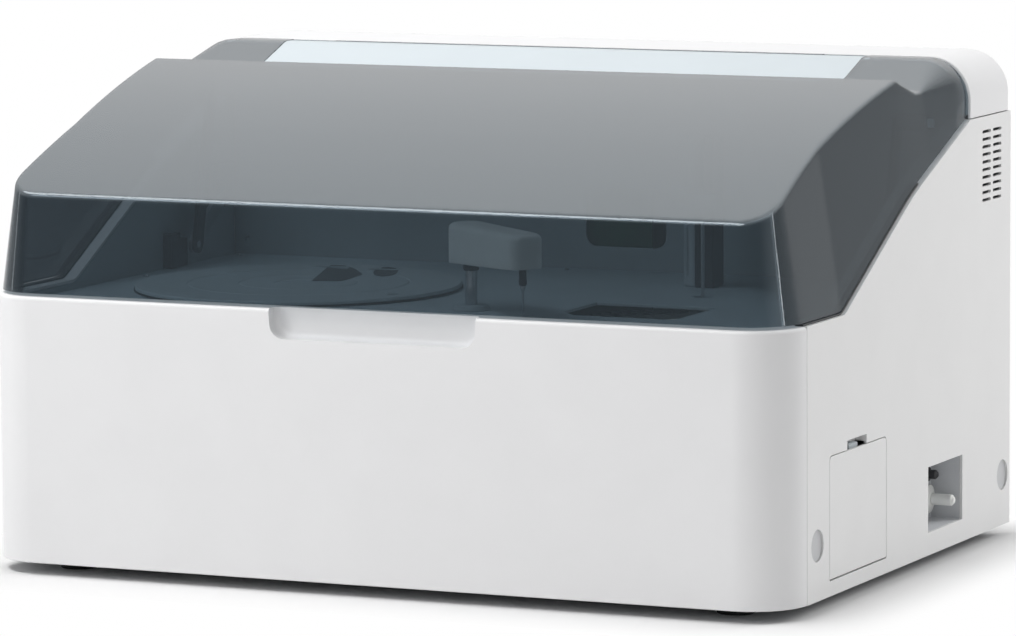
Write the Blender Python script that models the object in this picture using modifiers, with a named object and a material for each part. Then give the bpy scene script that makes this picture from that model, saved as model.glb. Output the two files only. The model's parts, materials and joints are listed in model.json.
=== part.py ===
"""Benchtop chemistry analyzer: a smoke lid over a work deck with a sampling probe,
a covered reagent carousel and a reaction disk, in a white moulded casing.

Metres, +Z up, +Y to the rear. The origin is on the bench, under the middle of the box.
"""
import bmesh
import bpy
from math import acos, atan2, ceil, cos, degrees, hypot, pi, radians, sin, sqrt, tan
from mathutils import Matrix, Vector

# Overall size
width = 0.860
depth = 0.614
height = 0.499
half_width = width / 2
half_depth = depth / 2

# Clearances and the overrun of every cut
seat_gap = 0.0003
run_gap = 0.0003
panel_seam = 0.001
overrun = 0.002
weld_distance = 0.00001

# Casing
cover_wall = 0.003
cover_bottom = 0.012
rim_height = 0.278
rim_width = 0.025
rim_skirt = 0.016
rim_edge_radius = 0.004
corner_radius = 0.055
roof_depth = 0.118
shoulder_height = 0.437
shoulder_radius = 0.043
roof_rear_radius = 0.010
slope_foot_y = -0.1550
slope_blend_radius = 0.018
slope_bend_y = 0.030
slope_bend_height = 0.3755
slope_bend_radius = 0.400
panel_edge_bevel = 0.003
front_seam_y = corner_radius - half_depth
roof_front_y = half_depth - roof_depth

# Lid
lid_wall = 0.003
lid_gap = 0.003
lid_side_inset = 0.004
lid_front_inset = 0.003
lid_draft_share = 0.08
lid_side_lean_share = 0.150
lid_ridge_lean_share = 0.133
lid_crease_radius = 0.004
front_crease_height = 0.378
front_crease_y = -0.2972
ridge_y = 0.031
ridge_height = 0.488
lid_crown = 0.011
valley_front_y = 0.074
valley_rear_y = 0.088
valley_height = 0.4725
crest_y = 0.163
valley_blend_radius = 0.016
crest_blend_radius = 0.030
flare_start_y = 0.092
lid_rear_gap = 0.004
lid_rear_y = roof_front_y - lid_rear_gap
strip_half_width = 0.324
strip_start_y = 0.042
strip_end_y = 0.177
strip_recess = 0.0020
strip_drop = 0.0005
strip_thickness = 0.0012

# Lid hinges and the parallel stays that hold the lid open
hinge_y = 0.183
hinge_z = 0.494
hinge_x = 0.300
knuckle_radius = 0.004
hinge_pin_radius = 0.0017
middle_knuckle_length = 0.026
end_knuckle_length = 0.012
leaf_thickness = 0.0015
leaf_reach = 0.030
lid_leaf_reach = 0.014
leaf_drop = 0.0005
stay_pivot_y = 0.150
stay_pivot_z = 0.345
stay_hook_y = 0.105
stay_hook_z = 0.440
stay_plate = 0.004
stay_eye_radius = 0.009
stay_pin_radius = 0.004
damper_size = 0.044
damper_depth = 0.014
stay_boss_radius = 0.008
stay_side_gap = 0.0005
lock_front_y = 0.008
lock_rear_y = 0.047
lock_height = 0.309
lock_depth = 0.021
lock_notch = 0.012

# Chassis and feet
pan_thickness = 0.002
pan_rim = 0.012
post_size = 0.020
post_wall = 0.003
post_front_y = -0.226
post_rear_y = 0.176
foot_radius = 0.019
foot_top_radius = 0.016
foot_inset_x = 0.075
foot_inset_y = 0.062

# Work deck and inner walls
deck_top = 0.268
deck_thickness = 0.003
inner_wall = 0.002
back_wall_y = 0.198
wall_foot = 0.006
window_left = 0.004
window_width = 0.090
window_bottom = 0.292
window_height = 0.060
window_radius = 0.012
window_depth = 0.014

# Reagent side
reagent_x = -0.195
reagent_y = -0.070
disk_cover_radius = 0.165
disk_cover_thickness = 0.006
disk_cover_lip = 0.005
disk_cover_lip_wall = 0.003
reagent_hole_radius = 0.158
chamber_radius = 0.160
chamber_wall = 0.004
chamber_flange = 0.012
chamber_floor = 0.170
chamber_foot_radius = 0.030
carousel_radius = 0.153
carousel_top = 0.252
carousel_plate = 0.004
carousel_hub_radius = 0.022
station_radius = 0.144
station_hole_radius = 0.0065
bottle_ring_inner = 0.094
bottle_count = 12
bottle_rib = 0.006
wedge_outer_radius = 0.150
wedge_inner_radius = 0.118
wedge_start_deg = 96.0
wedge_sweep_deg = 18.0
wedge_point_deg = 91.0
lens_ring_radius = 0.140
lens_turn_deg = 77.0
lens_length = 0.038
lens_width = 0.019
spindle_radius = 0.006
motor_size = 0.042
motor_height = 0.040
motor_boss_radius = 0.009
motor_boss_height = 0.002

# Reaction side
reaction_x = 0.228
reaction_y = -0.078
cuvette_ring_radius = 0.095
cuvette_count = 32
cuvette_width = 0.0090
cuvette_length = 0.0110
cuvette_depth = 0.028
cuvette_wall = 0.0035
ring_plate = 0.006
ring_top = 0.252
ring_bottom = 0.214
gear_teeth = 60
pinion_teeth = 12
gear_pitch_radius = 0.116
pinion_turn_deg = 40.0
tray_radius = 0.126
tray_wall = 0.003
tray_floor = 0.202
tray_rim = 0.240
tray_leg_radius = 0.008
tray_leg_turns_deg = (100.0, 220.0, 340.0)
reaction_hub_radius = 0.018

# Sampling probe and its wash well
probe_x = 0.044
probe_y = -0.170
probe_reach = 0.115
probe_rest_deg = -39.4
probe_turn_deg = 196.7
probe_column_radius = 0.006
probe_arm_bottom = 0.307
probe_arm_top = 0.349
probe_arm_width = 0.036
probe_arm_tail = 0.022
probe_arm_nose = 0.014
probe_drop = 0.025
needle_radius = 0.0012
needle_tip_z = 0.278
needle_sleeve_radius = 0.0028
needle_sleeve_length = 0.006
guide_radius = 0.013
guide_flange_radius = 0.019
guide_flange_height = 0.005
guide_bottom = 0.150
well_radius = 0.009
well_flange_radius = 0.013
well_flange_height = 0.003
well_bore_radius = 0.006
well_depth = 0.040

# Wash station
tower_x = 0.178
tower_y = 0.100
tower_width = 0.034
tower_depth = 0.040
tower_top = 0.420
rail_x_offset = 0.026
rail_width = 0.010
wash_angle_deg = 100.0
wash_arm_bottom = 0.356
wash_arm_thickness = 0.016
wash_arm_width = 0.026
wash_nozzle_radius = 0.0014
wash_drop = 0.030
wash_nozzle_clear = 0.004

# Side door, catch and syringe
door_front_y = -0.1933
door_rear_y = -0.0448
door_bottom = 0.0283
door_top = 0.1463
door_radius = 0.005
door_foot_radius = 0.002
door_gap = 0.001
door_floor_gap = 0.0017
door_axis_inset = 0.0035
door_axis_rise = 0.0030
door_pin_radius = 0.0012
door_pin_length = 0.005
door_rib = 0.006
scoop_front_y = -0.148
scoop_rear_y = -0.097
scoop_height = 0.010
scoop_depth = 0.012
scoop_wall = 0.002
catch_width = 0.024
catch_foot = 0.138
catch_rise = 0.0045
catch_depth = 0.008
syringe_y = -0.120
syringe_x = 0.372
syringe_plate = 0.010
syringe_plate_width = 0.070
syringe_top = 0.140
barrel_radius = 0.010
barrel_bore_radius = 0.0070
barrel_bottom = 0.080
barrel_top = 0.134
barrel_offset = 0.014
plunger_radius = 0.0066
plunger_bottom = 0.044
plunger_stroke = 0.030
plunger_head_radius = 0.009
plunger_head_height = 0.006

# Connection bay on the right side
bay_front_y = 0.071
bay_rear_y = 0.168
bay_bottom = 0.0348
bay_top = 0.1006
bay_floor_x = 0.3957
bay_wall = 0.002
bay_chamfer = 0.004
drain_y = 0.1525
drain_z = 0.056
drain_flange_radius = 0.0145
drain_flange_length = 0.008
drain_neck_radius = 0.0036
drain_neck_length = 0.0216
drain_cap_radius = 0.0058
drain_cap_start = 0.0012
drain_cap_wall = 0.0018
plug_z = 0.081
plug_radius = 0.0048
plug_length = 0.014

# Caps over the side fixings
cap_radius = 0.0155
cap_thickness = 0.0025
cap_recess = 0.0018
front_cap_y = -0.2253
front_cap_z = 0.0656
rear_cap_y = 0.285
rear_cap_z = 0.0640

# Vent slots
vent_rows = 10
vent_bottom = 0.3517
vent_pitch = 0.0077
vent_slot_height = 0.0032
vent_slot_length = 0.0250
vent_front_y = 0.2365
vent_rear_y = 0.2673

# Finger recess in the front cover
recess_top_left = -0.1100
recess_top_right = 0.1127
recess_bottom_left = -0.1075
recess_bottom_right = 0.1105
recess_bottom = 0.2485
recess_depth = 0.016
recess_radius = 0.015
recess_wall = 0.002

# Rear of the machine
rear_panel_inset = 0.0003
fan_size = 0.080
fan_depth = 0.025
fan_x = 0.230
fan_z = 0.300
fan_bore_radius = 0.037
fan_hub_radius = 0.015
fan_blade_count = 7
fan_blade_reach = 0.035
fan_blade_thickness = 0.0016
fan_blade_twist_deg = 35.0
fan_strut_width = 0.004
fan_strut_depth = 0.003
fan_boss_radius = 0.012
grille_slots = 9
grille_pitch = 0.0082
grille_slot_height = 0.0045
louvre_rows = 8
louvre_columns = 3
louvre_x = -0.120
louvre_z = 0.300
louvre_pitch_x = 0.040
louvre_pitch_z = 0.012
louvre_length = 0.032
louvre_height = 0.005
inlet_x = -0.300
inlet_z = 0.070
inlet_width = 0.050
inlet_height = 0.060
inlet_depth = 0.030
inlet_flange = 0.004
inlet_flange_wall = 0.002
socket_width = 0.024
socket_height = 0.016
socket_depth = 0.020
socket_z_offset = -0.012
rocker_width = 0.020
rocker_height = 0.014
rocker_depth = 0.008
rocker_z_offset = 0.016
rocker_tilt_deg = 8.0
rocker_axis_depth = 0.005
supply_x = -0.185
supply_y = 0.252
supply_width = 0.150
supply_depth = 0.080
supply_height = 0.085
supply_bevel = 0.002
board_thickness = 0.0016
board_width = 0.300
board_height = 0.200
board_bottom = 0.190
board_standoff = 0.006
board_standoff_radius = 0.004
chip_height = 0.004

# Facets
fine_sides = 40
round_sides = 20
small_sides = 10
arc_step_deg = 18.0
slot_step_deg = 60.0
roof_edge_turns_deg = (30.0, 60.0, 90.0)

parts_name = "chemistry_analyzer"
moulded_edge = 0.0015


def start_scene():
    for item in list(bpy.data.objects):
        bpy.data.objects.remove(item, do_unlink=True)
    made = {}
    for label in (parts_name, "cutters"):
        made[label] = bpy.data.collections.new(label)
        bpy.context.scene.collection.children.link(made[label])
    return made[parts_name], made["cutters"]


parts, cutters = start_scene()


def material(name, colour, roughness, metallic=0.0, alpha=1.0):
    made = bpy.data.materials.new(name)
    made.use_nodes = True
    shader = made.node_tree.nodes["Principled BSDF"]
    shader.inputs["Base Color"].default_value = (*colour, 1.0)
    shader.inputs["Roughness"].default_value = roughness
    shader.inputs["Metallic"].default_value = metallic
    shader.inputs["Alpha"].default_value = alpha
    return made


white_plastic = material("white_plastic", (0.80, 0.80, 0.79), 0.45)
deck_plastic = material("deck_plastic", (0.52, 0.60, 0.63), 0.50)
wall_plastic = material("wall_plastic", (0.34, 0.38, 0.40), 0.55)
smoke_plastic = material("smoke_plastic", (0.13, 0.15, 0.16), 0.12, alpha=0.45)
pale_strip = material("pale_strip", (0.72, 0.78, 0.80), 0.30)
black_plastic = material("black_plastic", (0.02, 0.02, 0.022), 0.50)
rubber = material("rubber", (0.03, 0.03, 0.03), 0.85)
steel = material("steel", (0.60, 0.61, 0.62), 0.30, metallic=1.0)
painted_steel = material("painted_steel", (0.45, 0.46, 0.47), 0.50)
aluminium = material("aluminium", (0.70, 0.71, 0.72), 0.35, metallic=1.0)
clear_glass = material("clear_glass", (0.75, 0.85, 0.90), 0.05, alpha=0.4)
cover_plastic = material("cover_plastic", (0.60, 0.68, 0.70), 0.45)
board_green = material("board_green", (0.02, 0.18, 0.08), 0.50)
nylon = material("nylon", (0.85, 0.85, 0.82), 0.45)


# Helpers that make the solids

def put(name, mesh, finish):
    """Make an object of a mesh, with its finish, in the parts collection."""
    made = bpy.data.objects.new(name, mesh)
    parts.objects.link(made)
    mesh.materials.clear()
    mesh.materials.append(finish)
    return made


def hide_as_cutter(tool):
    parts.objects.unlink(tool)
    cutters.objects.link(tool)
    tool.display_type = "WIRE"
    tool.hide_render = True
    return tool


def use_boolean(target, tool, operation):
    hide_as_cutter(tool)
    step = target.modifiers.new(operation.lower() + "_" + tool.name, "BOOLEAN")
    step.operation = operation
    step.solver = "EXACT"
    step.object = tool
    return target


def cut(target, *tools):
    for tool in tools:
        use_boolean(target, tool, "DIFFERENCE")
    return target


def fuse(target, *tools):
    for tool in tools:
        use_boolean(target, tool, "UNION")
    return target


def arc_points(centre, radius, start, sweep, step_deg=None):
    """Points on an arc about centre, both ends included, from angles in radians."""
    steps = max(2, ceil(abs(sweep) / radians(step_deg or arc_step_deg)))
    turns = [start + sweep * step / steps for step in range(steps + 1)]
    return [(centre[0] + radius * cos(turn), centre[1] + radius * sin(turn)) for turn in turns]


def rounded(corners, closed=True):
    """Turn (x, y) and (x, y, radius) corners into an outline with round corners."""
    points = []
    count = len(corners)
    for index, corner in enumerate(corners):
        here = Vector(corner[:2])
        at_end = not closed and index in (0, count - 1)
        if len(corner) == 2 or at_end:
            points.append((here.x, here.y))
            continue
        before = (Vector(corners[index - 1][:2]) - here).normalized()
        after = (Vector(corners[(index + 1) % count][:2]) - here).normalized()
        half_angle = acos(max(-1.0, min(1.0, before.dot(after)))) / 2
        centre = here + (before + after).normalized() * (corner[2] / sin(half_angle))
        first = here + before * (corner[2] / tan(half_angle)) - centre
        last = here + after * (corner[2] / tan(half_angle)) - centre
        sweep = atan2(first.x * last.y - first.y * last.x, first.dot(last))
        points += arc_points(centre, corner[2], atan2(first.y, first.x), sweep)
    kept = points[:1]
    for point in points[1:]:
        if hypot(point[0] - kept[-1][0], point[1] - kept[-1][1]) > weld_distance:
            kept.append(point)
    return kept


def rectangle(left, bottom, right, top, radius=0.0):
    corners = [(left, bottom), (right, bottom), (right, top), (left, top)]
    if radius:
        corners = [(x, y, radius) for x, y in corners]
    return rounded(corners)


def circle(x, y, radius, sides):
    turns = [2 * pi * side / sides for side in range(sides)]
    return [(x + radius * cos(turn), y + radius * sin(turn)) for turn in turns]


def slot_outline(ends, radius, step_deg=None):
    """A stadium round the straight line between two points."""
    (x0, y0), (x1, y1) = ends
    turn = atan2(y1 - y0, x1 - x0)
    far_end = arc_points((x1, y1), radius, turn - pi / 2, pi, step_deg)
    near_end = arc_points((x0, y0), radius, turn + pi / 2, pi, step_deg)
    return far_end + near_end


plane_axes = {
    "XY": Matrix(((1, 0, 0), (0, 1, 0), (0, 0, 1))).to_4x4(),
    "XZ": Matrix(((1, 0, 0), (0, 0, -1), (0, 1, 0))).to_4x4(),
    "YZ": Matrix(((0, 0, 1), (1, 0, 0), (0, 1, 0))).to_4x4(),
}
plane_normal = {"XY": Vector((0, 0, 1)), "XZ": Vector((0, 1, 0)), "YZ": Vector((1, 0, 0))}


def flat_solid(name, loops, low, high, plane, finish):
    """Extrude flat outlines, the first with the others as holes, from low to high."""
    curve = bpy.data.curves.new(name, "CURVE")
    curve.dimensions = "2D"
    curve.fill_mode = "BOTH"
    curve.extrude = (high - low) / 2
    for loop in loops:
        spline = curve.splines.new("POLY")
        spline.points.add(len(loop) - 1)
        for point, (x, y) in zip(spline.points, loop):
            point.co = (x, y, 0, 1)
        spline.use_cyclic_u = True
    outline = bpy.data.objects.new(name + "_outline", curve)
    parts.objects.link(outline)
    outline.matrix_world = plane_axes[plane]
    bpy.context.view_layer.update()
    evaluated = outline.evaluated_get(bpy.context.evaluated_depsgraph_get())
    mesh = bpy.data.meshes.new_from_object(evaluated)
    weld(mesh)
    bpy.data.objects.remove(outline, do_unlink=True)
    made = put(name, mesh, finish)
    made.matrix_world = plane_axes[plane]
    made.location = plane_normal[plane] * ((low + high) / 2)
    return made


def weld(mesh):
    work = bmesh.new()
    work.from_mesh(mesh)
    bmesh.ops.remove_doubles(work, verts=work.verts, dist=weld_distance)
    bmesh.ops.recalc_face_normals(work, faces=work.faces)
    work.to_mesh(mesh)
    work.free()


def block(name, low, high, finish, bevel=0.0):
    """A box between two corners, with its edges rounded by bevel."""
    low = Vector(low)
    high = Vector(high)
    mesh = bpy.data.meshes.new(name)
    work = bmesh.new()
    bmesh.ops.create_cube(work, size=1.0)
    bmesh.ops.scale(work, vec=high - low, verts=work.verts)
    work.to_mesh(mesh)
    work.free()
    made = put(name, mesh, finish)
    made.location = (low + high) / 2
    if bevel:
        round_edges(made, bevel)
    return made


def round_edges(target, radius, segments=2):
    step = target.modifiers.new("rounded_edges", "BEVEL")
    step.width = radius
    step.segments = segments
    step.limit_method = "ANGLE"
    step.angle_limit = radians(40.0)
    return target


def rod(name, radius, start, end, finish, sides=round_sides, end_radius=None):
    """A round bar, or a cone, from one point to another."""
    start = Vector(start)
    end = Vector(end)
    mesh = bpy.data.meshes.new(name)
    work = bmesh.new()
    far_radius = radius if end_radius is None else end_radius
    bmesh.ops.create_cone(work, cap_ends=True, segments=sides, radius1=radius,
                          radius2=far_radius, depth=(end - start).length)
    work.to_mesh(mesh)
    work.free()
    made = put(name, mesh, finish)
    made.rotation_mode = "QUATERNION"
    made.rotation_quaternion = (end - start).to_track_quat("Z", "Y")
    made.location = (start + end) / 2
    return made


def turned(name, profile, place, finish, sides=round_sides, axis="Z"):
    """Turn a closed (radius, height) profile about the axis through place."""
    mesh = bpy.data.meshes.new(name)
    work = bmesh.new()
    verts = [work.verts.new((radius, 0, level)) for radius, level in profile]
    on_axis = profile[0][0] == 0 and profile[-1][0] == 0
    last = len(verts) - 1 if on_axis else len(verts)
    for index in range(last):
        work.edges.new((verts[index], verts[(index + 1) % len(verts)]))
    work.to_mesh(mesh)
    work.free()
    made = put(name, mesh, finish)
    step = made.modifiers.new("turned", "SCREW")
    step.angle = 2 * pi
    step.steps = sides
    step.render_steps = sides
    step.use_merge_vertices = True
    step.merge_threshold = weld_distance
    made.location = place
    if axis == "X":
        made.rotation_euler = (0, pi / 2, 0)
    if axis == "Y":
        made.rotation_euler = (-pi / 2, 0, 0)
    return made


def tube_profile(bore, outer, low, high):
    return [(outer, high), (outer, low), (bore, low), (bore, high)]


def lofted(name, rows, finish, thickness, flip=False):
    """Skin a grid of points and give the open sheet its wall on the inner side."""
    mesh = bpy.data.meshes.new(name)
    work = bmesh.new()
    grid = [[work.verts.new(point) for point in row] for row in rows]
    for near, far in zip(grid, grid[1:]):
        for index in range(len(near) - 1):
            face = [near[index], near[index + 1], far[index + 1], far[index]]
            work.faces.new(reversed(face) if flip else face)
    work.to_mesh(mesh)
    work.free()
    made = put(name, mesh, finish)
    if thickness:
        wall_sheet(made, thickness)
    return made


def wall_sheet(target, thickness):
    step = target.modifiers.new("wall", "SOLIDIFY")
    step.thickness = thickness
    step.offset = -1.0
    step.use_even_offset = True
    return target


def smooth(target, sharp_deg=35.0):
    target.data.shade_smooth()
    target.data.set_sharp_from_angle(angle=radians(sharp_deg))
    return target


def u_path(half_span, front, back, radius):
    """The plan of a wall round the front, from rear left to rear right."""
    corners = [(-half_span, back), (-half_span, front, radius),
               (half_span, front, radius), (half_span, back)]
    return rounded(corners, closed=False)


def offset_outline(inset, back):
    """The casing's plan outline, closed at back, drawn in by inset."""
    span = half_width - inset
    radius = corner_radius - inset
    return rounded([(-span, back), (-span, inset - half_depth, radius),
                    (span, inset - half_depth, radius), (span, back)])


def panel_top_path(lift, front, back):
    """The side panel's top edge in (y, z), raised by lift, from front to back."""
    return rounded([(front, rim_height + lift),
                    (slope_foot_y, rim_height + lift, slope_blend_radius),
                    (slope_bend_y, slope_bend_height + lift, slope_bend_radius),
                    (back, shoulder_height + lift)], closed=False)


# Casing

def front_cover():
    """The moulded front: a wrapped wall whose top turns in to a rim round the deck."""
    outer = u_path(half_width, -half_depth, front_seam_y, corner_radius)
    inner = u_path(half_width - rim_width, rim_width - half_depth, front_seam_y,
                   corner_radius - rim_width)
    edge = rim_edge_radius
    fillet = arc_points((edge, rim_height - edge), edge, pi, -pi / 2)
    profile = [(0, cover_bottom)] + fillet
    profile += [(rim_width, rim_height), (rim_width, rim_height - rim_skirt)]
    rows = []
    for (x0, y0), (x1, y1) in zip(outer, inner):
        row = []
        for inset, level in profile:
            share = inset / rim_width
            row.append((x0 + (x1 - x0) * share, y0 + (y1 - y0) * share, level))
        rows.append(row)
    made = lofted("front_cover", rows, white_plastic, cover_wall, flip=True)
    pocket = finger_recess("recess_pocket", recess_wall, cover_wall / 2,
                           recess_depth + recess_wall, -cover_wall / 2)
    hollow = finger_recess("recess_hollow", 0.0, -overrun, recess_depth, overrun)
    fuse(made, pocket)
    cut(made, hollow)
    return smooth(made)


def finger_recess(name, margin, start, reach, top_margin):
    """The outline of the front finger recess, as a solid from start to reach deep."""
    top = rim_height + top_margin
    corners = [(recess_top_left - margin, top),
               (recess_bottom_left - margin, recess_bottom - margin, recess_radius + margin),
               (recess_bottom_right + margin, recess_bottom - margin, recess_radius + margin),
               (recess_top_right + margin, top)]
    return flat_solid(name, [rounded(corners)], start - half_depth, reach - half_depth,
                      "XZ", white_plastic)


def side_panel(name, side):
    """A side panel with its sloping top edge turned in over the deck's side wall."""
    seam = panel_seam
    front = front_seam_y + seam
    top = panel_top_path(0.0, front, roof_front_y)
    under = panel_top_path(-cover_wall, front, roof_front_y)
    roof_line = shoulder_height - seam / 2
    outline = top[:-1] + [(roof_front_y, roof_line), (half_depth, roof_line)]
    outline += [(half_depth, cover_bottom), (front, cover_bottom)]
    wall = (half_width - cover_wall, half_width)
    ledge = (half_width - rim_width, half_width - cover_wall / 2)
    made = flat_solid(name, [outline], *sorted(side * x for x in wall), "YZ", white_plastic)
    flange_top = [(y, z - seat_gap / 2) for y, z in top]
    flange = flat_solid(name + "_flange", [flange_top + under[::-1]],
                        *sorted(side * x for x in ledge), "YZ", white_plastic)
    fuse(made, flange)
    return made


def vent_outlines():
    loops = []
    half_run = (vent_slot_length - vent_slot_height) / 2
    for row in range(vent_rows):
        level = vent_bottom + row * vent_pitch
        for centre in (vent_front_y, vent_rear_y):
            ends = [(centre - half_run, level), (centre + half_run, level)]
            loops.append(slot_outline(ends, vent_slot_height / 2, slot_step_deg))
    return loops


def door_outline(gap, floor_gap):
    """The door's outline; its lower corners are small, so that they clear the hole as it opens."""
    return rounded([(door_front_y - gap, door_bottom - floor_gap, door_foot_radius),
                    (door_rear_y + gap, door_bottom - floor_gap, door_foot_radius),
                    (door_rear_y + gap, door_top + gap, door_radius),
                    (door_front_y - gap, door_top + gap, door_radius)])


def right_panel_openings(panel):
    """Cut the door, the bay, the vents, the cap holes and the finger scoop."""
    inside = half_width - cover_wall - overrun
    outside = half_width + overrun
    door = door_outline(door_gap, door_floor_gap)
    bay = rectangle(bay_front_y, bay_bottom, bay_rear_y, bay_top)
    caps = [circle(front_cap_y, front_cap_z, cap_radius + seat_gap, round_sides),
            circle(rear_cap_y, rear_cap_z, cap_radius + seat_gap, round_sides)]
    scoop_base = door_top - overrun
    scoop_top = door_top + scoop_height
    lug = scoop_wall
    pocket = block("scoop_pocket",
                   (half_width - scoop_depth - lug, scoop_front_y - lug, door_top + door_gap + lug),
                   (half_width - cover_wall / 2, scoop_rear_y + lug, scoop_top + lug), white_plastic)
    hollow = block("scoop_hollow",
                   (half_width - scoop_depth, scoop_front_y, scoop_base),
                   (outside, scoop_rear_y, scoop_top), white_plastic)
    lugs = []
    for end, way in ((door_front_y, -1), (door_rear_y, 1)):
        near = end + way * (door_gap + seat_gap)
        far = end + way * (door_gap + door_pin_length)
        lugs.append(block("door_lug", (half_width - door_rib - lug, min(near, far), door_bottom),
                          (half_width - cover_wall / 2, max(near, far),
                           door_bottom + door_rib + lug), white_plastic))
    fuse(panel, pocket, *lugs)
    holes = [flat_solid("door_hole", [door], inside, outside, "YZ", white_plastic),
             flat_solid("bay_hole", [bay], inside, outside, "YZ", white_plastic),
             flat_solid("cap_holes", caps[:1], inside, outside, "YZ", white_plastic),
             flat_solid("rear_cap_hole", caps[1:], inside, outside, "YZ", white_plastic)]
    cut(panel, hollow, *holes)
    axis_x = half_width - door_axis_inset
    axis_z = door_bottom + door_axis_rise
    reach = door_pin_length + overrun
    cut(panel, rod("door_pin_holes", door_pin_radius + run_gap,
                   (axis_x, door_front_y - reach, axis_z), (axis_x, door_rear_y + reach, axis_z),
                   white_plastic, small_sides))
    vents = flat_solid("vent_slots", vent_outlines(), inside, outside, "YZ", white_plastic)
    cut(panel, vents)


def roof_path(inset, foot):
    """The roof's cross-section in (x, z), from left foot over the top to right foot."""
    radius = shoulder_radius - inset
    span = half_width - inset
    return rounded([(-span, foot), (-span, height - inset, radius),
                    (span, height - inset, radius), (span, foot)], closed=False)


def roof_cover():
    """The white rear cover with round shoulders, closed at the back."""
    outer = roof_path(0.0, shoulder_height + panel_seam / 2)
    rows = []
    for y in (roof_front_y, half_depth - roof_rear_radius):
        rows.append([(x, y, z) for x, z in outer])
    for turn in roof_edge_turns_deg:
        inset = roof_rear_radius * (1 - cos(radians(turn)))
        y = half_depth - roof_rear_radius * (1 - sin(radians(turn)))
        rows.append([(x, y, z) for x, z in roof_path(inset, outer[0][1])])
    made = lofted("roof_cover", rows, white_plastic, 0.0)
    close_back(made, half_depth)
    wall_sheet(made, cover_wall)
    return smooth(made)


def close_back(target, back):
    """Fill the rear of an open sheet with one face across its last row."""
    work = bmesh.new()
    work.from_mesh(target.data)
    rear = [edge for edge in work.edges if edge.is_boundary
            and all(abs(vert.co.y - back) < weld_distance for vert in edge.verts)]
    ring = bmesh.ops.contextual_create(work, geom=rear)
    bmesh.ops.recalc_face_normals(work, faces=ring["faces"])
    bmesh.ops.recalc_face_normals(work, faces=work.faces)
    work.to_mesh(target.data)
    work.free()


def rear_panel():
    span = half_width - cover_wall - rear_panel_inset
    outer = rectangle(-span, cover_bottom, span, shoulder_height - seat_gap)
    inlet = rectangle(inlet_x - inlet_width / 2 - seat_gap, inlet_z - inlet_height / 2 - seat_gap,
                      inlet_x + inlet_width / 2 + seat_gap, inlet_z + inlet_height / 2 + seat_gap)
    made = flat_solid("rear_panel", [outer, inlet], half_depth - cover_wall, half_depth, "XZ",
                      white_plastic)
    slots = []
    for index in range(grille_slots):
        level = fan_z + (index - (grille_slots - 1) / 2) * grille_pitch
        reach = sqrt(max(0.0, fan_bore_radius ** 2 - (level - fan_z) ** 2)) - grille_slot_height
        ends = [(fan_x - reach, level), (fan_x + reach, level)]
        slots.append(slot_outline(ends, grille_slot_height / 2, slot_step_deg))
    half_run = (louvre_length - louvre_height) / 2
    for row in range(louvre_rows):
        for column in range(louvre_columns):
            x = louvre_x + column * louvre_pitch_x
            level = louvre_z + (row - (louvre_rows - 1) / 2) * louvre_pitch_z
            slots.append(slot_outline([(x - half_run, level), (x + half_run, level)],
                                      louvre_height / 2, slot_step_deg))
    cut(made, flat_solid("rear_slots", slots, half_depth - cover_wall - overrun,
                         half_depth + overrun, "XZ", white_plastic))
    return made


def base_chassis():
    """The steel pan with a turned-up rim and four posts that carry the deck."""
    inset = cover_wall + seat_gap
    back = half_depth - inset
    floor = cover_bottom + panel_seam
    made = flat_solid("base_chassis", [offset_outline(inset, back)], floor, floor + pan_rim, "XY",
                      painted_steel)
    hollow = flat_solid("pan_hollow", [offset_outline(inset + pan_thickness, back - pan_thickness)],
                        floor + pan_thickness, floor + pan_rim + overrun, "XY", painted_steel)
    cut(made, hollow)
    deck_under = deck_top - deck_thickness - seat_gap
    outer = half_width - rim_width - post_wall
    for side in (-1, 1):
        for y in (post_front_y, post_rear_y):
            inner = outer - post_size
            low_x, high_x = sorted((side * inner, side * outer))
            web_x, web_high = sorted((side * outer, side * (outer - post_wall)))
            angle = block("post", (web_x, y, floor + pan_thickness / 2),
                          (web_high, y + post_size, deck_under), painted_steel)
            leg = block("post_leg", (low_x + post_wall / 2, y, floor + pan_thickness / 2),
                        (high_x - post_wall / 2, y + post_wall, deck_under - seat_gap),
                        painted_steel)
            fuse(made, angle, leg)
    return made


def foot(name, x, y):
    top = cover_bottom + panel_seam - seat_gap
    profile = [(0, top), (foot_top_radius, top), (foot_radius, top * 2 / 3), (foot_radius, 0), (0, 0)]
    return smooth(turned(name, profile, (x, y, 0), rubber))


# Work deck and inner walls

def reaction_window():
    """The opening in the deck over the front left of the reaction disk."""
    reach = cuvette_ring_radius + cuvette_length
    left = reaction_x - reach + cuvette_length
    corner = cuvette_length
    return rounded([(left, reaction_y + corner), (left, reaction_y - reach * 2 / 3),
                    (left + corner * 2, reaction_y - reach + corner),
                    (reaction_x + corner * 3, reaction_y - reach + corner),
                    (reaction_x + corner * 3, reaction_y + corner)])


def on_circle(centre, radius, turn_deg):
    turn = radians(turn_deg)
    return (centre[0] + radius * cos(turn), centre[1] + radius * sin(turn))


probe_rest = on_circle((probe_x, probe_y), probe_reach, probe_rest_deg)
wash_place = on_circle((reaction_x, reaction_y), cuvette_ring_radius, wash_angle_deg)
pinion_place = on_circle((reaction_x, reaction_y),
                         gear_pitch_radius * (1 + pinion_teeth / gear_teeth), pinion_turn_deg)


def work_deck():
    inset = rim_width + seat_gap
    outer = offset_outline(inset, back_wall_y - seat_gap)
    holes = [circle(reagent_x, reagent_y, reagent_hole_radius, fine_sides),
             reaction_window(),
             circle(probe_x, probe_y, guide_radius + seat_gap, round_sides),
             circle(*probe_rest, well_radius + seat_gap, round_sides),
             circle(*wash_place, cuvette_length, round_sides)]
    return flat_solid("work_deck", [outer] + holes, deck_top - deck_thickness, deck_top, "XY",
                      deck_plastic)


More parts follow.
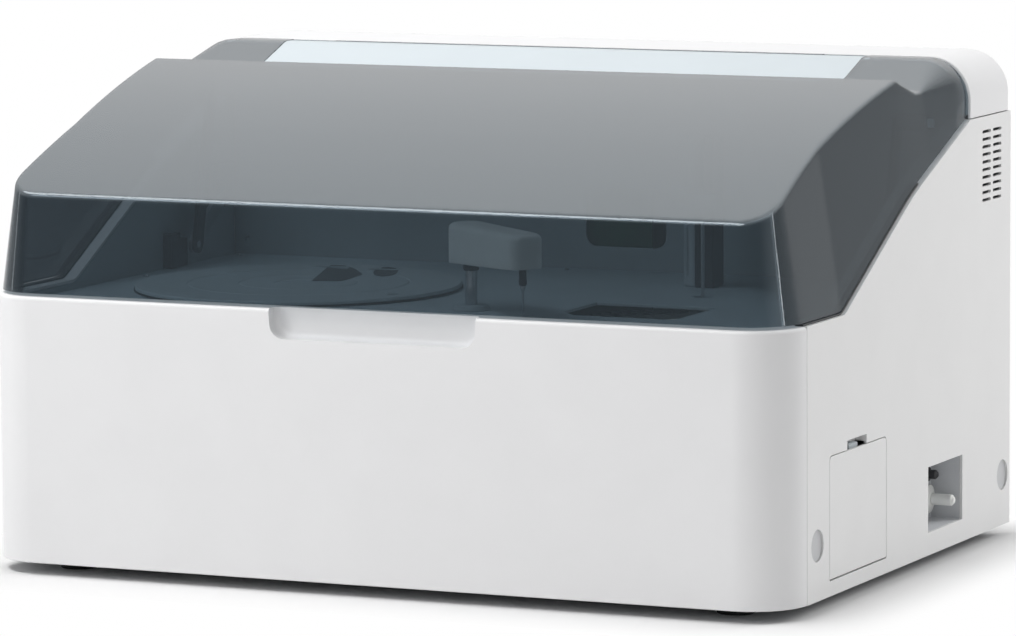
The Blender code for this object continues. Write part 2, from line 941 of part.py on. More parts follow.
def inner_side_wall(name, side):
    drop = cover_wall + seat_gap * 2
    base = deck_top - wall_foot
    front = front_seam_y + seat_gap
    back = back_wall_y - seat_gap
    top = panel_top_path(-drop, front, roof_front_y)
    outline = top[:-1] + [(back, shoulder_height - drop), (back, base), (front, base)]
    near = half_width - rim_width
    return flat_solid(name, [outline], *sorted((side * near, side * (near + inner_wall))), "YZ",
                      wall_plastic)


def back_wall():
    """The wall behind the deck, closed up into the roof, with a dark service window."""
    inset = cover_wall + seat_gap
    span = half_width - inset
    neck = half_width - rim_width - seat_gap
    base = deck_top - wall_foot
    sill = shoulder_height + cover_wall
    radius = shoulder_radius - inset
    step = sill - panel_seam
    outline = rounded([(-neck, base), (neck, base), (neck, step), (span, sill),
                       (span, height - inset, radius), (-span, height - inset, radius),
                       (-span, sill), (-neck, step)])
    window = rounded([(window_left, window_bottom, window_radius),
                      (window_left + window_width, window_bottom, window_radius),
                      (window_left + window_width, window_bottom + window_height),
                      (window_left, window_bottom + window_height)])
    made = flat_solid("back_wall", [outline, window], back_wall_y, back_wall_y + inner_wall, "XZ",
                      wall_plastic)
    ledge_top = hinge_z - knuckle_radius + leaf_drop - seat_gap
    for side in (-1, 1):
        low_x, high_x = sorted((side * (hinge_x - middle_knuckle_length),
                                side * (hinge_x + middle_knuckle_length)))
        ledge = block("hinge_ledge", (low_x, back_wall_y + inner_wall / 2, ledge_top - cover_wall),
                      (high_x, back_wall_y + leaf_reach, ledge_top), wall_plastic)
        reach = middle_knuckle_length / 2 + seat_gap
        slot = block("leaf_pass", (side * hinge_x - reach, back_wall_y - overrun, ledge_top),
                     (side * hinge_x + reach, back_wall_y + inner_wall + seat_gap, height), wall_plastic)
        fuse(made, ledge)
        cut(made, slot)
    return made


# Lid

def lid_profile():
    """The lid's top line in (y, z) from the front crease back to the roof."""
    chord = hypot(ridge_y - front_crease_y, ridge_height - front_crease_height)
    radius = (chord ** 2 / 4 + lid_crown ** 2) / (2 * lid_crown)
    lean = atan2(ridge_height - front_crease_height, ridge_y - front_crease_y)
    half_sweep = atan2(chord / 2, radius - lid_crown)
    middle = ((front_crease_y + ridge_y) / 2, (front_crease_height + ridge_height) / 2)
    back_off = radius - lid_crown
    centre = (middle[0] + sin(lean) * back_off, middle[1] - cos(lean) * back_off)
    crown = []
    for step in range(lid_crown_steps + 1):
        turn = pi / 2 + lean + half_sweep * (1 - 2 * step / lid_crown_steps)
        crown.append((centre[0] + radius * cos(turn), centre[1] + radius * sin(turn)))
    tail = rounded([(ridge_y, ridge_height), (valley_front_y, valley_height, valley_blend_radius),
                    (valley_rear_y, valley_height, valley_blend_radius),
                    (crest_y, height, crest_blend_radius), (lid_rear_y, height)], closed=False)
    return crown + tail[1:]


lid_crown_steps = 10
lid_line = lid_profile()


def lid_height(y):
    """Height of the lid's top surface at y, read from its profile."""
    if y <= lid_line[0][0]:
        return lid_line[0][1]
    for (y0, z0), (y1, z1) in zip(lid_line, lid_line[1:]):
        if y <= y1:
            return z0 + (z1 - z0) * (y - y0) / (y1 - y0)
    return lid_line[-1][1]


def lid_flare(y_base):
    """How far the section has turned from a drafted wall to the roof's round shoulder."""
    flare = max(0.0, (y_base - flare_start_y) / (lid_rear_y - flare_start_y))
    return flare * flare * (3 - 2 * flare)


def lid_draft(y_base, normal):
    """Lean of the wall: least at the front face, most at the front of the sides."""
    near = 1 - min(1.0, max(0.0, (y_base - front_seam_y) / (ridge_y - front_seam_y)))
    side = lid_ridge_lean_share + (lid_side_lean_share - lid_ridge_lean_share) * near
    lean = lid_draft_share + (side - lid_draft_share) * normal.x ** 2
    return lean * (1 - lid_flare(y_base))


def lid_station(y_base, normal, corner_centre):
    """One upright row of the lid's wall, from its lower edge to the top sheet."""
    flare = lid_flare(y_base)
    draft = lid_draft(y_base, normal)
    base_span = half_width - lid_side_inset
    lid_foot = lid_base_height(y_base)

    def wall_point(level):
        inset = draft * (level - lid_foot)
        if corner_centre:
            reach = corner_radius - lid_side_inset - inset
            return Vector((corner_centre[0] + normal.x * reach,
                           corner_centre[1] + normal.y * reach, level))
        return Vector((base_span - inset + flare * (lid_side_inset - lid_gap) / 2, y_base, level))

    top = front_crease_height
    for _ in range(6):
        top = lid_height(wall_point(top).y)
    radius = lid_crease_radius + (shoulder_radius - lid_gap / 2 - lid_crease_radius) * flare
    crease = wall_point(top)
    centre = crease - normal * radius - Vector((0, 0, radius))
    points = [wall_point(lid_foot)]
    for step in range(lid_shoulder_steps + 1):
        turn = pi / 2 * step / lid_shoulder_steps
        edge = centre + normal * (radius * cos(turn)) + Vector((0, 0, radius * sin(turn)))
        slack = Vector((0, 0, lid_height(edge.y) - top)) * sin(turn)
        points.append(edge + slack)
    return points


lid_shoulder_steps = 5
lid_corner_steps = 6
lid_edge_line = panel_top_path(lid_gap, front_seam_y, roof_front_y)


def lid_base_height(y):
    """Height of the lid's lower edge at y, one gap above the side panel's edge."""
    if y <= lid_edge_line[0][0]:
        return rim_height + lid_gap
    for (y0, z0), (y1, z1) in zip(lid_edge_line, lid_edge_line[1:]):
        if y <= y1:
            return z0 + (z1 - z0) * (y - y0) / (y1 - y0)
    return lid_edge_line[-1][1]


def lid_stations():
    """Rows of the right half of the lid, from the middle of the front to the rear."""
    centre = (half_width - corner_radius, corner_radius - half_depth + lid_front_inset
              - lid_side_inset)
    rows = []
    for step in range(lid_corner_steps + 1):
        turn = -pi / 2 + pi / 2 * step / lid_corner_steps
        normal = Vector((cos(turn), sin(turn), 0))
        rows.append(lid_station(front_seam_y, normal, centre))
    marks = sorted([y for y, z in lid_edge_line[1:-1]] +
                   [y for y, z in lid_line if y > front_seam_y + lid_wall * 2])
    side_y = marks[-1:]
    for y in marks[-2::-1]:
        if side_y[0] - y > lid_wall:
            side_y.insert(0, y)
    for y in side_y:
        rows.append(lid_station(y, Vector((1, 0, 0)), None))
    return rows


def lid_shell():
    """The one-piece smoke moulding: leaning front, side walls, crowned top and valley."""
    half_rows = lid_stations()
    rows = []
    for half in half_rows:
        left = [Vector((-p.x, p.y, p.z)) for p in half]
        rows.append(half + left[::-1])
    mesh = bpy.data.meshes.new("lid_shell")
    work = bmesh.new()
    grid = [[work.verts.new(point) for point in row] for row in rows]
    for near, far in zip(grid, grid[1:]):
        for index in range(len(near) - 1):
            work.faces.new([near[index], near[index + 1], far[index + 1], far[index]])
    front = grid[0]
    for index in range(len(front) // 2 - 1):
        mirror = len(front) - 1 - index
        work.faces.new([front[index + 1], front[index], front[mirror], front[mirror - 1]])
    bmesh.ops.recalc_face_normals(work, faces=work.faces)
    work.to_mesh(mesh)
    work.free()
    made = put("lid_shell", mesh, smoke_plastic)
    wall_sheet(made, lid_wall)
    cut(made, strip_solid("strip_recess", seat_gap, strip_recess, -overrun))
    for side in (-1, 1):
        reach = middle_knuckle_length / 2 + end_knuckle_length + run_gap * 2
        notch = block("hinge_notch", (side * hinge_x - reach, hinge_y - knuckle_radius - run_gap,
                                      hinge_z - knuckle_radius * 2),
                      (side * hinge_x + reach, lid_rear_y + overrun, height + overrun),
                      smoke_plastic)
        cut(made, notch)
        lean = lid_draft(stay_hook_y, Vector((1, 0, 0)))
        wall_x = half_width - lid_side_inset - lean * (stay_hook_z - lid_base_height(stay_hook_y))
        boss = rod("stay_boss", stay_boss_radius,
                   (side * (stay_plane("arm") - stay_plate / 2), stay_hook_y, stay_hook_z),
                   (side * (wall_x - lid_wall / 2), stay_hook_y, stay_hook_z), smoke_plastic)
        pin = rod("stay_boss_pin", stay_pin_radius - run_gap,
                  (side * (stay_plane("link") - stay_plate), stay_hook_y, stay_hook_z),
                  (side * stay_plane("arm"), stay_hook_y, stay_hook_z), smoke_plastic)
        fuse(made, boss, pin)
    return smooth(made)


def strip_solid(name, margin, deep, shallow):
    """The sheet between two depths under the lid's top surface, over the pale strip."""
    ys = [strip_start_y - margin]
    ys += [y for y, z in lid_line if strip_start_y < y < strip_end_y]
    ys.append(strip_end_y + margin)
    span = strip_half_width + margin
    under = [(y, lid_height(y) - deep) for y in ys]
    over = [(y, lid_height(y) - shallow) for y in ys]
    return flat_solid(name, [under + over[::-1]], -span, span, "YZ", pale_strip)


def lid_top_strip():
    return strip_solid("lid_top_strip", 0.0, strip_drop + strip_thickness, strip_drop)


# Lid hinges and stays

def knuckle(name, start, end, side, finish):
    bar = rod(name, knuckle_radius, (side * hinge_x + start, hinge_y, hinge_z),
              (side * hinge_x + end, hinge_y, hinge_z), finish, small_sides)
    return bar


def lid_hinge_leaf(name, side):
    """The leaf under the lid's top sheet, with a knuckle at each end."""
    half_middle = middle_knuckle_length / 2
    reach = half_middle + end_knuckle_length
    top = height - lid_wall - seat_gap
    made = block(name, (side * hinge_x - reach, hinge_y - lid_leaf_reach, top - leaf_thickness),
                 (side * hinge_x + reach, hinge_y - knuckle_radius / 2, top), steel)
    slot = block("leaf_slot", (side * hinge_x - half_middle - run_gap, hinge_y - knuckle_radius
                               - run_gap * 2, hinge_z - knuckle_radius * 2),
                 (side * hinge_x + half_middle + run_gap, hinge_y + knuckle_radius, height), steel)
    ends = [knuckle("end_knuckle", half_middle + run_gap, reach, side, steel),
            knuckle("end_knuckle", -reach, -half_middle - run_gap, side, steel)]
    cut(made, slot)
    fuse(made, *ends)
    bore = rod("knuckle_bore", hinge_pin_radius + run_gap, (side * hinge_x - reach - overrun, hinge_y,
                                                            hinge_z),
               (side * hinge_x + reach + overrun, hinge_y, hinge_z), steel, small_sides)
    return cut(made, bore)


def body_hinge_leaf(name, side):
    """The fixed leaf on the back wall's ledge, with the middle knuckle and the pin."""
    half_middle = middle_knuckle_length / 2
    under = hinge_z - knuckle_radius + leaf_drop
    made = block(name, (side * hinge_x - half_middle, hinge_y, under),
                 (side * hinge_x + half_middle, back_wall_y + leaf_reach - seat_gap,
                  under + leaf_thickness), steel)
    middle = knuckle("middle_knuckle", -half_middle, half_middle, side, steel)
    reach = half_middle + end_knuckle_length
    pin = rod("leaf_pin", hinge_pin_radius, (side * hinge_x - reach, hinge_y, hinge_z),
              (side * hinge_x + reach, hinge_y, hinge_z), steel, small_sides)
    return fuse(made, middle, pin)


def stay_plane(piece):
    """Distance from the middle of the machine to the centre of a stay's plate."""
    arm = half_width - rim_width - seat_gap - damper_depth - stay_side_gap - stay_plate / 2
    if piece == "arm":
        return arm
    return arm - stay_plate - stay_side_gap


stay_elbow_y = stay_pivot_y + stay_hook_y - hinge_y
stay_elbow_z = stay_pivot_z + stay_hook_z - hinge_z


def stay_damper(name, side):
    """The damper block on the inner side wall, with the pivot for the stay's arm."""
    near = half_width - rim_width - seat_gap
    low_x, high_x = sorted((side * near, side * (near - damper_depth)))
    half = damper_size / 2
    made = block(name, (low_x, stay_pivot_y - half, stay_pivot_z - half),
                 (high_x, stay_pivot_y + half, stay_pivot_z + half), black_plastic, moulded_edge)
    pivot = rod("damper_pivot", stay_pin_radius,
                (side * (near - damper_depth / 2), stay_pivot_y, stay_pivot_z),
                (side * (stay_plane("arm") - stay_plate / 2), stay_pivot_y, stay_pivot_z), black_plastic,
                small_sides)
    return fuse(made, pivot)


def stay_plate_solid(name, side, piece, ends, finish):
    centre = stay_plane(piece)
    low_x, high_x = sorted((side * (centre - stay_plate / 2), side * (centre + stay_plate / 2)))
    eyes = [circle(y, z, stay_pin_radius + run_gap, small_sides) for y, z in ends[:1]]
    return flat_solid(name, [slot_outline(ends, stay_eye_radius)] + eyes, low_x, high_x, "YZ", finish)


def stay_arm(name, side):
    """The arm, parallel to the line from the lid's hinge to its stay hook."""
    made = stay_plate_solid(name, side, "arm", [(stay_pivot_y, stay_pivot_z),
                                                (stay_elbow_y, stay_elbow_z)], steel)
    pin = rod("elbow_pin", stay_pin_radius, (side * stay_plane("arm"), stay_elbow_y, stay_elbow_z),
              (side * (stay_plane("link") - stay_plate / 2), stay_elbow_y, stay_elbow_z), steel,
              small_sides)
    return fuse(made, pin)


def stay_link(name, side):
    """The link, parallel to the line from the damper's pivot to the lid's hinge."""
    ends = [(stay_elbow_y, stay_elbow_z), (stay_hook_y, stay_hook_z)]
    made = stay_plate_solid(name, side, "link", ends, steel)
    hole = rod("hook_hole", stay_pin_radius,
               (side * (stay_plane("link") - stay_plate), stay_hook_y, stay_hook_z),
               (side * (stay_plane("link") + stay_plate), stay_hook_y, stay_hook_z), steel, round_sides)
    return cut(made, hole)


def lid_lock():
    """The lid's lock on the left inner wall, with a slot for the hook that the lid would carry."""
    wall = half_width - rim_width - seat_gap
    made = block("lid_lock", (-wall, lock_front_y, deck_top + seat_gap),
                 (-wall + lock_depth, lock_rear_y, lock_height), black_plastic, moulded_edge)
    middle = (lock_front_y + lock_rear_y) / 2
    slot = block("lock_slot", (-wall + lock_notch / 2, middle, lock_height - lock_notch),
                 (-wall + lock_depth + overrun, middle + lock_notch / 2, lock_height + overrun),
                 black_plastic)
    return cut(made, slot)


# Reagent side

def reagent_chamber():
    """The cooled tub hung under the deck, with a foot for the spindle's bearing."""
    top = deck_top - deck_thickness - seat_gap
    outer = chamber_radius + chamber_wall
    flange = outer + chamber_flange
    bore = spindle_radius + run_gap
    profile = [(flange, top), (flange, top - chamber_wall), (outer, top - chamber_wall),
               (outer, chamber_floor), (chamber_foot_radius, chamber_floor),
               (chamber_foot_radius, chamber_floor - chamber_wall * 3),
               (bore, chamber_floor - chamber_wall * 3), (bore, chamber_floor + chamber_wall),
               (chamber_radius, chamber_floor + chamber_wall), (chamber_radius, top)]
    return smooth(turned("reagent_chamber", profile, (reagent_x, reagent_y, 0), white_plastic,
                         fine_sides))


def reagent_carousel():
    """The rotor: ribs that part the bottles, a tray under them and a spindle."""
    centre = (reagent_x, reagent_y)
    low = chamber_floor + chamber_wall + panel_seam
    spindle_foot = chamber_floor - chamber_wall * 3 - motor_height / 4
    made = flat_solid("reagent_carousel", [rib_star(centre)], carousel_top - carousel_plate,
                      carousel_top, "XY", nylon)
    middle = carousel_top - carousel_plate / 2
    hub = [(0, middle), (carousel_hub_radius, middle), (carousel_hub_radius, low + carousel_plate),
           (carousel_radius, low + carousel_plate), (carousel_radius, low), (spindle_radius, low),
           (spindle_radius, spindle_foot), (0, spindle_foot)]
    return fuse(made, turned("carousel_hub", hub, (reagent_x, reagent_y, 0), nylon, fine_sides))


def rib_star(centre):
    """The carousel's top plate: a disc with a rib to the rim between each two bottles."""
    share = 2 * pi / bottle_count
    points = []
    for index in range(bottle_count):
        middle = share * index + radians(probe_station_deg())
        inner = share / 2 - bottle_rib / 2 / bottle_ring_inner
        rim = share / 2 - bottle_rib / 2 / carousel_radius
        points += arc_points(centre, bottle_ring_inner, middle - inner, 2 * inner)
        points.append(on_circle(centre, carousel_radius, degrees(middle + rim)))
        points.append(on_circle(centre, carousel_radius, degrees(middle + share - rim)))
    return points


def probe_station_deg():
    """Direction from the reagent side's centre to the probe's own column."""
    turn = atan2(probe_y - reagent_y, probe_x - reagent_x)
    return turn * 180.0 / pi


def disk_cover():
    """The lift-off cover, with the probe's hole and two grips cut through it."""
    base = deck_top + seat_gap
    top = base + disk_cover_thickness
    lip = reagent_hole_radius - seat_gap * 2
    chamfer = disk_cover_thickness / 4
    profile = [(0, top), (disk_cover_radius - chamfer, top), (disk_cover_radius, top - chamfer),
               (disk_cover_radius, base), (lip, base), (lip, base - disk_cover_lip),
               (lip - disk_cover_lip_wall, base - disk_cover_lip),
               (lip - disk_cover_lip_wall, base + disk_cover_thickness / 2),
               (0, base + disk_cover_thickness / 2)]
    made = turned("disk_cover", profile, (reagent_x, reagent_y, 0), cover_plastic, fine_sides)
    station = on_circle((reagent_x, reagent_y), station_radius, probe_station_deg())
    low = base - overrun
    high = top + overrun
    hole = flat_solid("probe_hole", [circle(*station, station_hole_radius, round_sides)], low, high, "XY",
                      cover_plastic)
    wedge = flat_solid("wedge_grip", [wedge_grip()], low, high, "XY", cover_plastic)
    lens = flat_solid("lens_grip", [lens_grip()], low, high, "XY", cover_plastic)
    return smooth(cut(made, hole, wedge, lens))


def wedge_grip():
    """A pie-shaped access opening near the rear of the cover."""
    centre = (reagent_x, reagent_y)
    points = arc_points(centre, wedge_outer_radius, radians(wedge_start_deg),
                        radians(wedge_sweep_deg))
    points.append(on_circle(centre, wedge_inner_radius, wedge_point_deg))
    return points


def lens_grip():
    """A lens-shaped access opening beside the wedge."""
    centre = on_circle((reagent_x, reagent_y), lens_ring_radius, lens_turn_deg)
    return [(centre[0] + x * lens_length / 2, centre[1] + y * lens_width / 2)
            for x, y in circle(0, 0, 1, round_sides)]


def motor(name, place, top):
    """A square motor with a round boss that its shaft comes out of."""
    half = motor_size / 2
    body_top = top - motor_boss_height
    made = block(name, (place[0] - half, place[1] - half, body_top - motor_height),
                 (place[0] + half, place[1] + half, body_top), black_plastic, moulded_edge * 2)
    boss = rod("motor_boss", motor_boss_radius, (*place, body_top - motor_boss_height), (*place, top),
               black_plastic)
    fuse(made, boss)
    well = rod("motor_shaft_well", spindle_radius + run_gap, (*place, top - motor_height / 2),
               (*place, top + overrun), black_plastic)
    return cut(made, well)


# Reaction side

def gear_outline(centre, teeth, pitch_radius, phase):
    """Straight-flanked teeth on a pitch circle, thinned for backlash."""
    module = 2 * pitch_radius / teeth
    root = pitch_radius - 1.15 * module
    tip = pitch_radius + 0.85 * module
    points = []
    for tooth in range(teeth):
        middle = phase + 2 * pi * tooth / teeth
        for radius, share in ((root, -0.32), (tip, -0.13), (tip, 0.13), (root, 0.32)):
            turn = middle + 2 * pi / teeth * share
            points.append((centre[0] + radius * cos(turn), centre[1] + radius * sin(turn)))
    return points


def reaction_disk():
    """The rotor: a toothed plate over a ring of cuvette pockets, on a central hub."""
    centre = (reaction_x, reaction_y)
    inner = cuvette_ring_radius - cuvette_length / 2 - cuvette_wall
    outer = cuvette_ring_radius + cuvette_length / 2 + cuvette_wall
    phase = radians(pinion_turn_deg)
    windows = [bottle_window(centre, index) for index in range(6)]
    plate = flat_solid("reaction_disk", [gear_outline(centre, gear_teeth, gear_pitch_radius, phase)]
                       + windows, ring_top - ring_plate, ring_top, "XY", nylon)
    ring = turned("cuvette_ring", tube_profile(inner, outer, ring_bottom, ring_top - ring_plate / 2),
                  (reaction_x, reaction_y, 0), nylon, fine_sides)
    hub = turned("reaction_hub",
                 tube_profile(spindle_radius + run_gap, reaction_hub_radius,
                              tray_floor + tray_wall + seat_gap, ring_top + ring_plate / 2),
                 (reaction_x, reaction_y, 0), nylon)
    fuse(plate, ring, hub)
    bore = rod("hub_bore", spindle_radius + run_gap, (*centre, tray_floor),
               (*centre, ring_top + ring_plate), nylon)
    cut(plate, bore, cuvette_cutter(centre))
    return plate


def bottle_window(centre, index):
    share = 2 * pi / 6
    rib = bottle_rib * 2
    inner_radius = reaction_hub_radius + bottle_rib
    outer_radius = cuvette_ring_radius - cuvette_length - bottle_rib
    inner = share / 2 - rib / 2 / inner_radius
    outer = share / 2 - rib / 2 / outer_radius
    points = arc_points(centre, outer_radius, share * index - outer, 2 * outer)
    points += arc_points(centre, inner_radius, share * index + inner, -2 * inner)
    return points


def cuvette_cutter(centre):
    """One tool with a box for each cuvette, set out on the ring."""
    mesh = bpy.data.meshes.new("cuvette_boxes")
    work = bmesh.new()
    low = ring_top - cuvette_depth
    high = ring_top + overrun
    for index in range(cuvette_count):
        made = bmesh.ops.create_cube(work, size=1.0)
        turn = radians(wash_angle_deg) + 2 * pi * index / cuvette_count
        place = (centre[0] + cuvette_ring_radius * cos(turn),
                 centre[1] + cuvette_ring_radius * sin(turn), (low + high) / 2)
        shape = Matrix.LocRotScale(Vector(place), Matrix.Rotation(turn, 3, "Z").to_quaternion(),
                                   Vector((cuvette_length, cuvette_width, high - low)))
        bmesh.ops.transform(work, matrix=shape, verts=made["verts"])
    work.to_mesh(mesh)
    work.free()
    return put("cuvette_boxes", mesh, nylon)


def reaction_pinion():
    """The small gear on the drive motor's shaft, in mesh with the disk's rim."""
    phase = radians(pinion_turn_deg) + pi + pi / pinion_teeth
    radius = gear_pitch_radius * pinion_teeth / gear_teeth
    made = flat_solid("reaction_pinion", [gear_outline(pinion_place, pinion_teeth, radius, phase)],
                      ring_top - ring_plate, ring_top, "XY", nylon)
    shaft = rod("pinion_shaft", spindle_radius, (*pinion_place, tray_floor - motor_height / 4),
                (*pinion_place, ring_top - ring_plate / 2), nylon)
    return fuse(made, shaft)


def reaction_tray():
    """The bath under the disk: a round tray with the axle, three legs and a motor ear."""
    centre = (reaction_x, reaction_y)
    outer = tray_radius + tray_wall
    axle = spindle_radius
    profile = [(0, ring_top), (axle, ring_top), (axle, tray_floor + tray_wall),
               (tray_radius, tray_floor + tray_wall), (tray_radius, tray_rim), (outer, tray_rim),
               (outer, tray_floor), (0, tray_floor)]
    made = turned("reaction_tray", profile, (reaction_x, reaction_y, 0), aluminium, fine_sides)
    floor = cover_bottom + panel_seam + pan_thickness + seat_gap
    for turn in tray_leg_turns_deg:
        place = on_circle(centre, tray_radius - tray_leg_radius * 2, turn)
        leg = rod("tray_leg", tray_leg_radius, (*place, floor), (*place, tray_floor + tray_wall / 2),
                  aluminium, small_sides)
        fuse(made, leg)
    near = on_circle(centre, tray_radius - tray_leg_radius, pinion_turn_deg)
    ear = flat_solid("motor_ear", [slot_outline([near, pinion_place], motor_size / 2)],
                     tray_floor + seat_gap, tray_floor + tray_wall - seat_gap, "XY", aluminium)
    fuse(made, ear)
    shaft_hole = rod("ear_hole", motor_boss_radius + run_gap, (*pinion_place, tray_floor - overrun),
                     (*pinion_place, tray_rim), aluminium)
    return cut(made, shaft_hole)


def photometer():
    """The lamp and detector block, a U that stands astride the cuvette ring."""
    inner = cuvette_ring_radius - cuvette_length / 2 - cuvette_wall
    outer = cuvette_ring_radius + cuvette_length / 2 + cuvette_wall
    base = tray_floor + tray_wall + seat_gap
    top = ring_top - ring_plate - panel_seam
    leg = cuvette_length
    half = motor_size / 2
    clear = panel_seam * 2
    made = block("photometer", (reaction_x + inner - leg, reaction_y - half, base),
                 (reaction_x + outer + leg, reaction_y + half, top), black_plastic)
    gap = turned("photometer_gap", tube_profile(inner - clear, outer + clear, ring_bottom - clear,
                                                top + overrun),
                 (reaction_x, reaction_y, 0), black_plastic, fine_sides)
    return cut(made, gap)


# Sampling probe

def probe_guide():
    """The bushing in the deck that the probe's column slides and turns in."""
    bore = probe_column_radius + run_gap
    flange_base = deck_top + seat_gap
    top = flange_base + guide_flange_height
    profile = [(guide_flange_radius - guide_flange_height / 2, top),
               (guide_flange_radius, flange_base), (guide_radius, flange_base),
               (guide_radius, guide_bottom), (bore, guide_bottom), (bore, top)]
    return smooth(turned("probe_guide", profile, (probe_x, probe_y, 0), black_plastic))


def probe_column():
    """The polished column, with a spigot on top that the arm turns on."""
    spigot = probe_column_radius * 2 / 3
    low = guide_bottom + probe_drop + panel_seam
    profile = [(0, probe_arm_bottom + probe_arm_width / 2), (spigot, probe_arm_bottom
                                                            + probe_arm_width / 2),
               (spigot, probe_arm_bottom), (probe_column_radius, probe_arm_bottom - run_gap),
               (probe_column_radius, low), (0, low)]
    return smooth(turned("probe_column", profile, (probe_x, probe_y, 0), steel))


def probe_arm():
    """The arm's rounded housing, with a bore for the spigot and one for the needle."""
    turn = radians(probe_rest_deg)
    half = probe_arm_width / 2
    nose = probe_reach + probe_arm_nose
    outline = rounded([(-probe_arm_tail, -half, half * 2 / 3), (nose, -half, half * 2 / 3),
                       (nose, half, half * 2 / 3), (-probe_arm_tail, half, half * 2 / 3)])
    made = flat_solid("probe_arm", [outline], probe_arm_bottom, probe_arm_top, "XY", white_plastic)
    made.location = (probe_x, probe_y, made.location.z)
    made.rotation_euler = (0, 0, turn)
    round_edges(made, moulded_edge * 4, 3)
    socket = rod("spigot_socket", probe_column_radius * 2 / 3 + run_gap,
                 (probe_x, probe_y, probe_arm_bottom - overrun),
                 (probe_x, probe_y, probe_arm_bottom + half + run_gap), white_plastic)
    bore = rod("needle_socket", needle_sleeve_radius + seat_gap,
               (*probe_rest, probe_arm_bottom - overrun),
               (*probe_rest, probe_arm_bottom + needle_sleeve_length), white_plastic)
    return smooth(cut(made, socket, bore))


def probe_needle():
    """The steel needle, held in the arm's nose by its sleeve."""
    top = probe_arm_bottom + needle_sleeve_length - seat_gap
    shoulder = probe_arm_bottom - needle_sleeve_length
    profile = [(0, top), (needle_sleeve_radius, top), (needle_sleeve_radius, shoulder),
               (needle_radius, shoulder - needle_sleeve_radius),
               (needle_radius, needle_tip_z + needle_radius * 2), (needle_radius / 2, needle_tip_z),
               (0, needle_tip_z)]
    return smooth(turned("probe_needle", profile, (*probe_rest, 0), steel, small_sides))


def wash_well():
    """The well under the needle's rest, sunk through the deck."""
    base = deck_top + seat_gap
    top = base + well_flange_height
    low = deck_top - well_depth
    floor = low + cover_wall
    profile = [(well_flange_radius - well_flange_height / 2, top), (well_flange_radius, base),
               (well_radius, base), (well_radius, low), (0, low)]
    inside = [(0, floor), (well_bore_radius, floor), (well_bore_radius, top)]
    made = turned("wash_well", (inside + profile), (*probe_rest, 0), white_plastic)
    return smooth(made)


# Wash station

def wash_tower():
    """The dark column on the deck with the pale rail that the wash head slides on."""
    base = deck_top + seat_gap
    left = tower_x - tower_width / 2
    front = tower_y - tower_depth / 2
    made = block("wash_tower", (left, front, base), (left + tower_width, front + tower_depth, tower_top),
                 black_plastic, moulded_edge)
    rail = block("tower_rail", (left - rail_width, front + tower_depth / 4, base),
                 (left + moulded_edge, front + tower_depth / 2, tower_top - moulded_edge),
                 black_plastic)
    return fuse(made, rail)


def wash_head():
    """The carriage round the rail, its arm over the cuvettes and the two nozzles."""
    left = tower_x - tower_width / 2
    front = tower_y - tower_depth / 2
    gap = run_gap * 2
    low = wash_arm_bottom
    high = low + wash_arm_thickness
    carriage_left = left - rail_width - cover_wall * 2
    half = wash_arm_width / 2
    made = block("wash_head", (carriage_left, front + tower_depth / 4 - cover_wall * 2, low),
                 (left - gap, front + tower_depth / 2 + cover_wall * 2, high), aluminium)
    root = (carriage_left + half, front + tower_depth / 4)
    arm = flat_solid("wash_arm", [slot_outline([root, wash_place], half)], low + moulded_edge,
                     high - moulded_edge, "XY", aluminium)
    groove = block("rail_groove", (left - rail_width - gap, front + tower_depth / 4 - gap,
                                   low - overrun),
                   (left + gap, front + tower_depth / 2 + gap, high + overrun), aluminium)
    fuse(made, arm)
    cut(made, groove)
    clear_tower = block("tower_clear", (left - gap, front - gap, low - overrun),
                        (left + tower_width, front + tower_depth, high + overrun), aluminium)
    cut(made, clear_tower)
    tip = ring_top + wash_drop - cuvette_depth * 2 / 3
    for way in (-1, 1):
        turn = radians(wash_angle_deg)
        shift = way * wash_nozzle_radius * 3 / 2
        place = (wash_place[0] + shift * cos(turn), wash_place[1] + shift * sin(turn))
        nozzle = rod("nozzle", wash_nozzle_radius, (*place, tip), (*place, low + moulded_edge * 2),
                     aluminium, 8)
        fuse(made, nozzle)
    return made


# Side door, catch and syringe

def side_door():
    """The small service door, with a rib and a pintle at each end of its lower edge."""
    x0 = half_width - cover_wall
    outline = door_outline(0.0, 0.0)
    made = flat_solid("side_door", [outline], x0, half_width, "YZ", white_plastic)
    axis_x = half_width - door_axis_inset
    axis_z = door_bottom + door_axis_rise
    inset = door_radius
    rib = block("door_rib", (half_width - door_rib, door_front_y + inset, door_bottom + moulded_edge),
                (half_width - cover_wall / 2, door_rear_y - inset, door_bottom + door_rib), white_plastic)
    pin = rod("door_pintle", door_pin_radius, (axis_x, door_front_y - door_pin_length + seat_gap, axis_z),
              (axis_x, door_rear_y + door_pin_length - seat_gap, axis_z), white_plastic, small_sides)
    return fuse(made, rib, pin)


def door_catch():
    """The catch on the finger scoop's back wall, reaching down behind the door's edge."""
    middle = (scoop_front_y + scoop_rear_y) / 2
    x0 = half_width - scoop_depth + seat_gap
    return block("door_catch", (x0, middle - catch_width / 2, catch_foot),
                 (x0 + catch_depth, middle + catch_width / 2, door_top + catch_rise), wall_plastic,
                 moulded_edge)


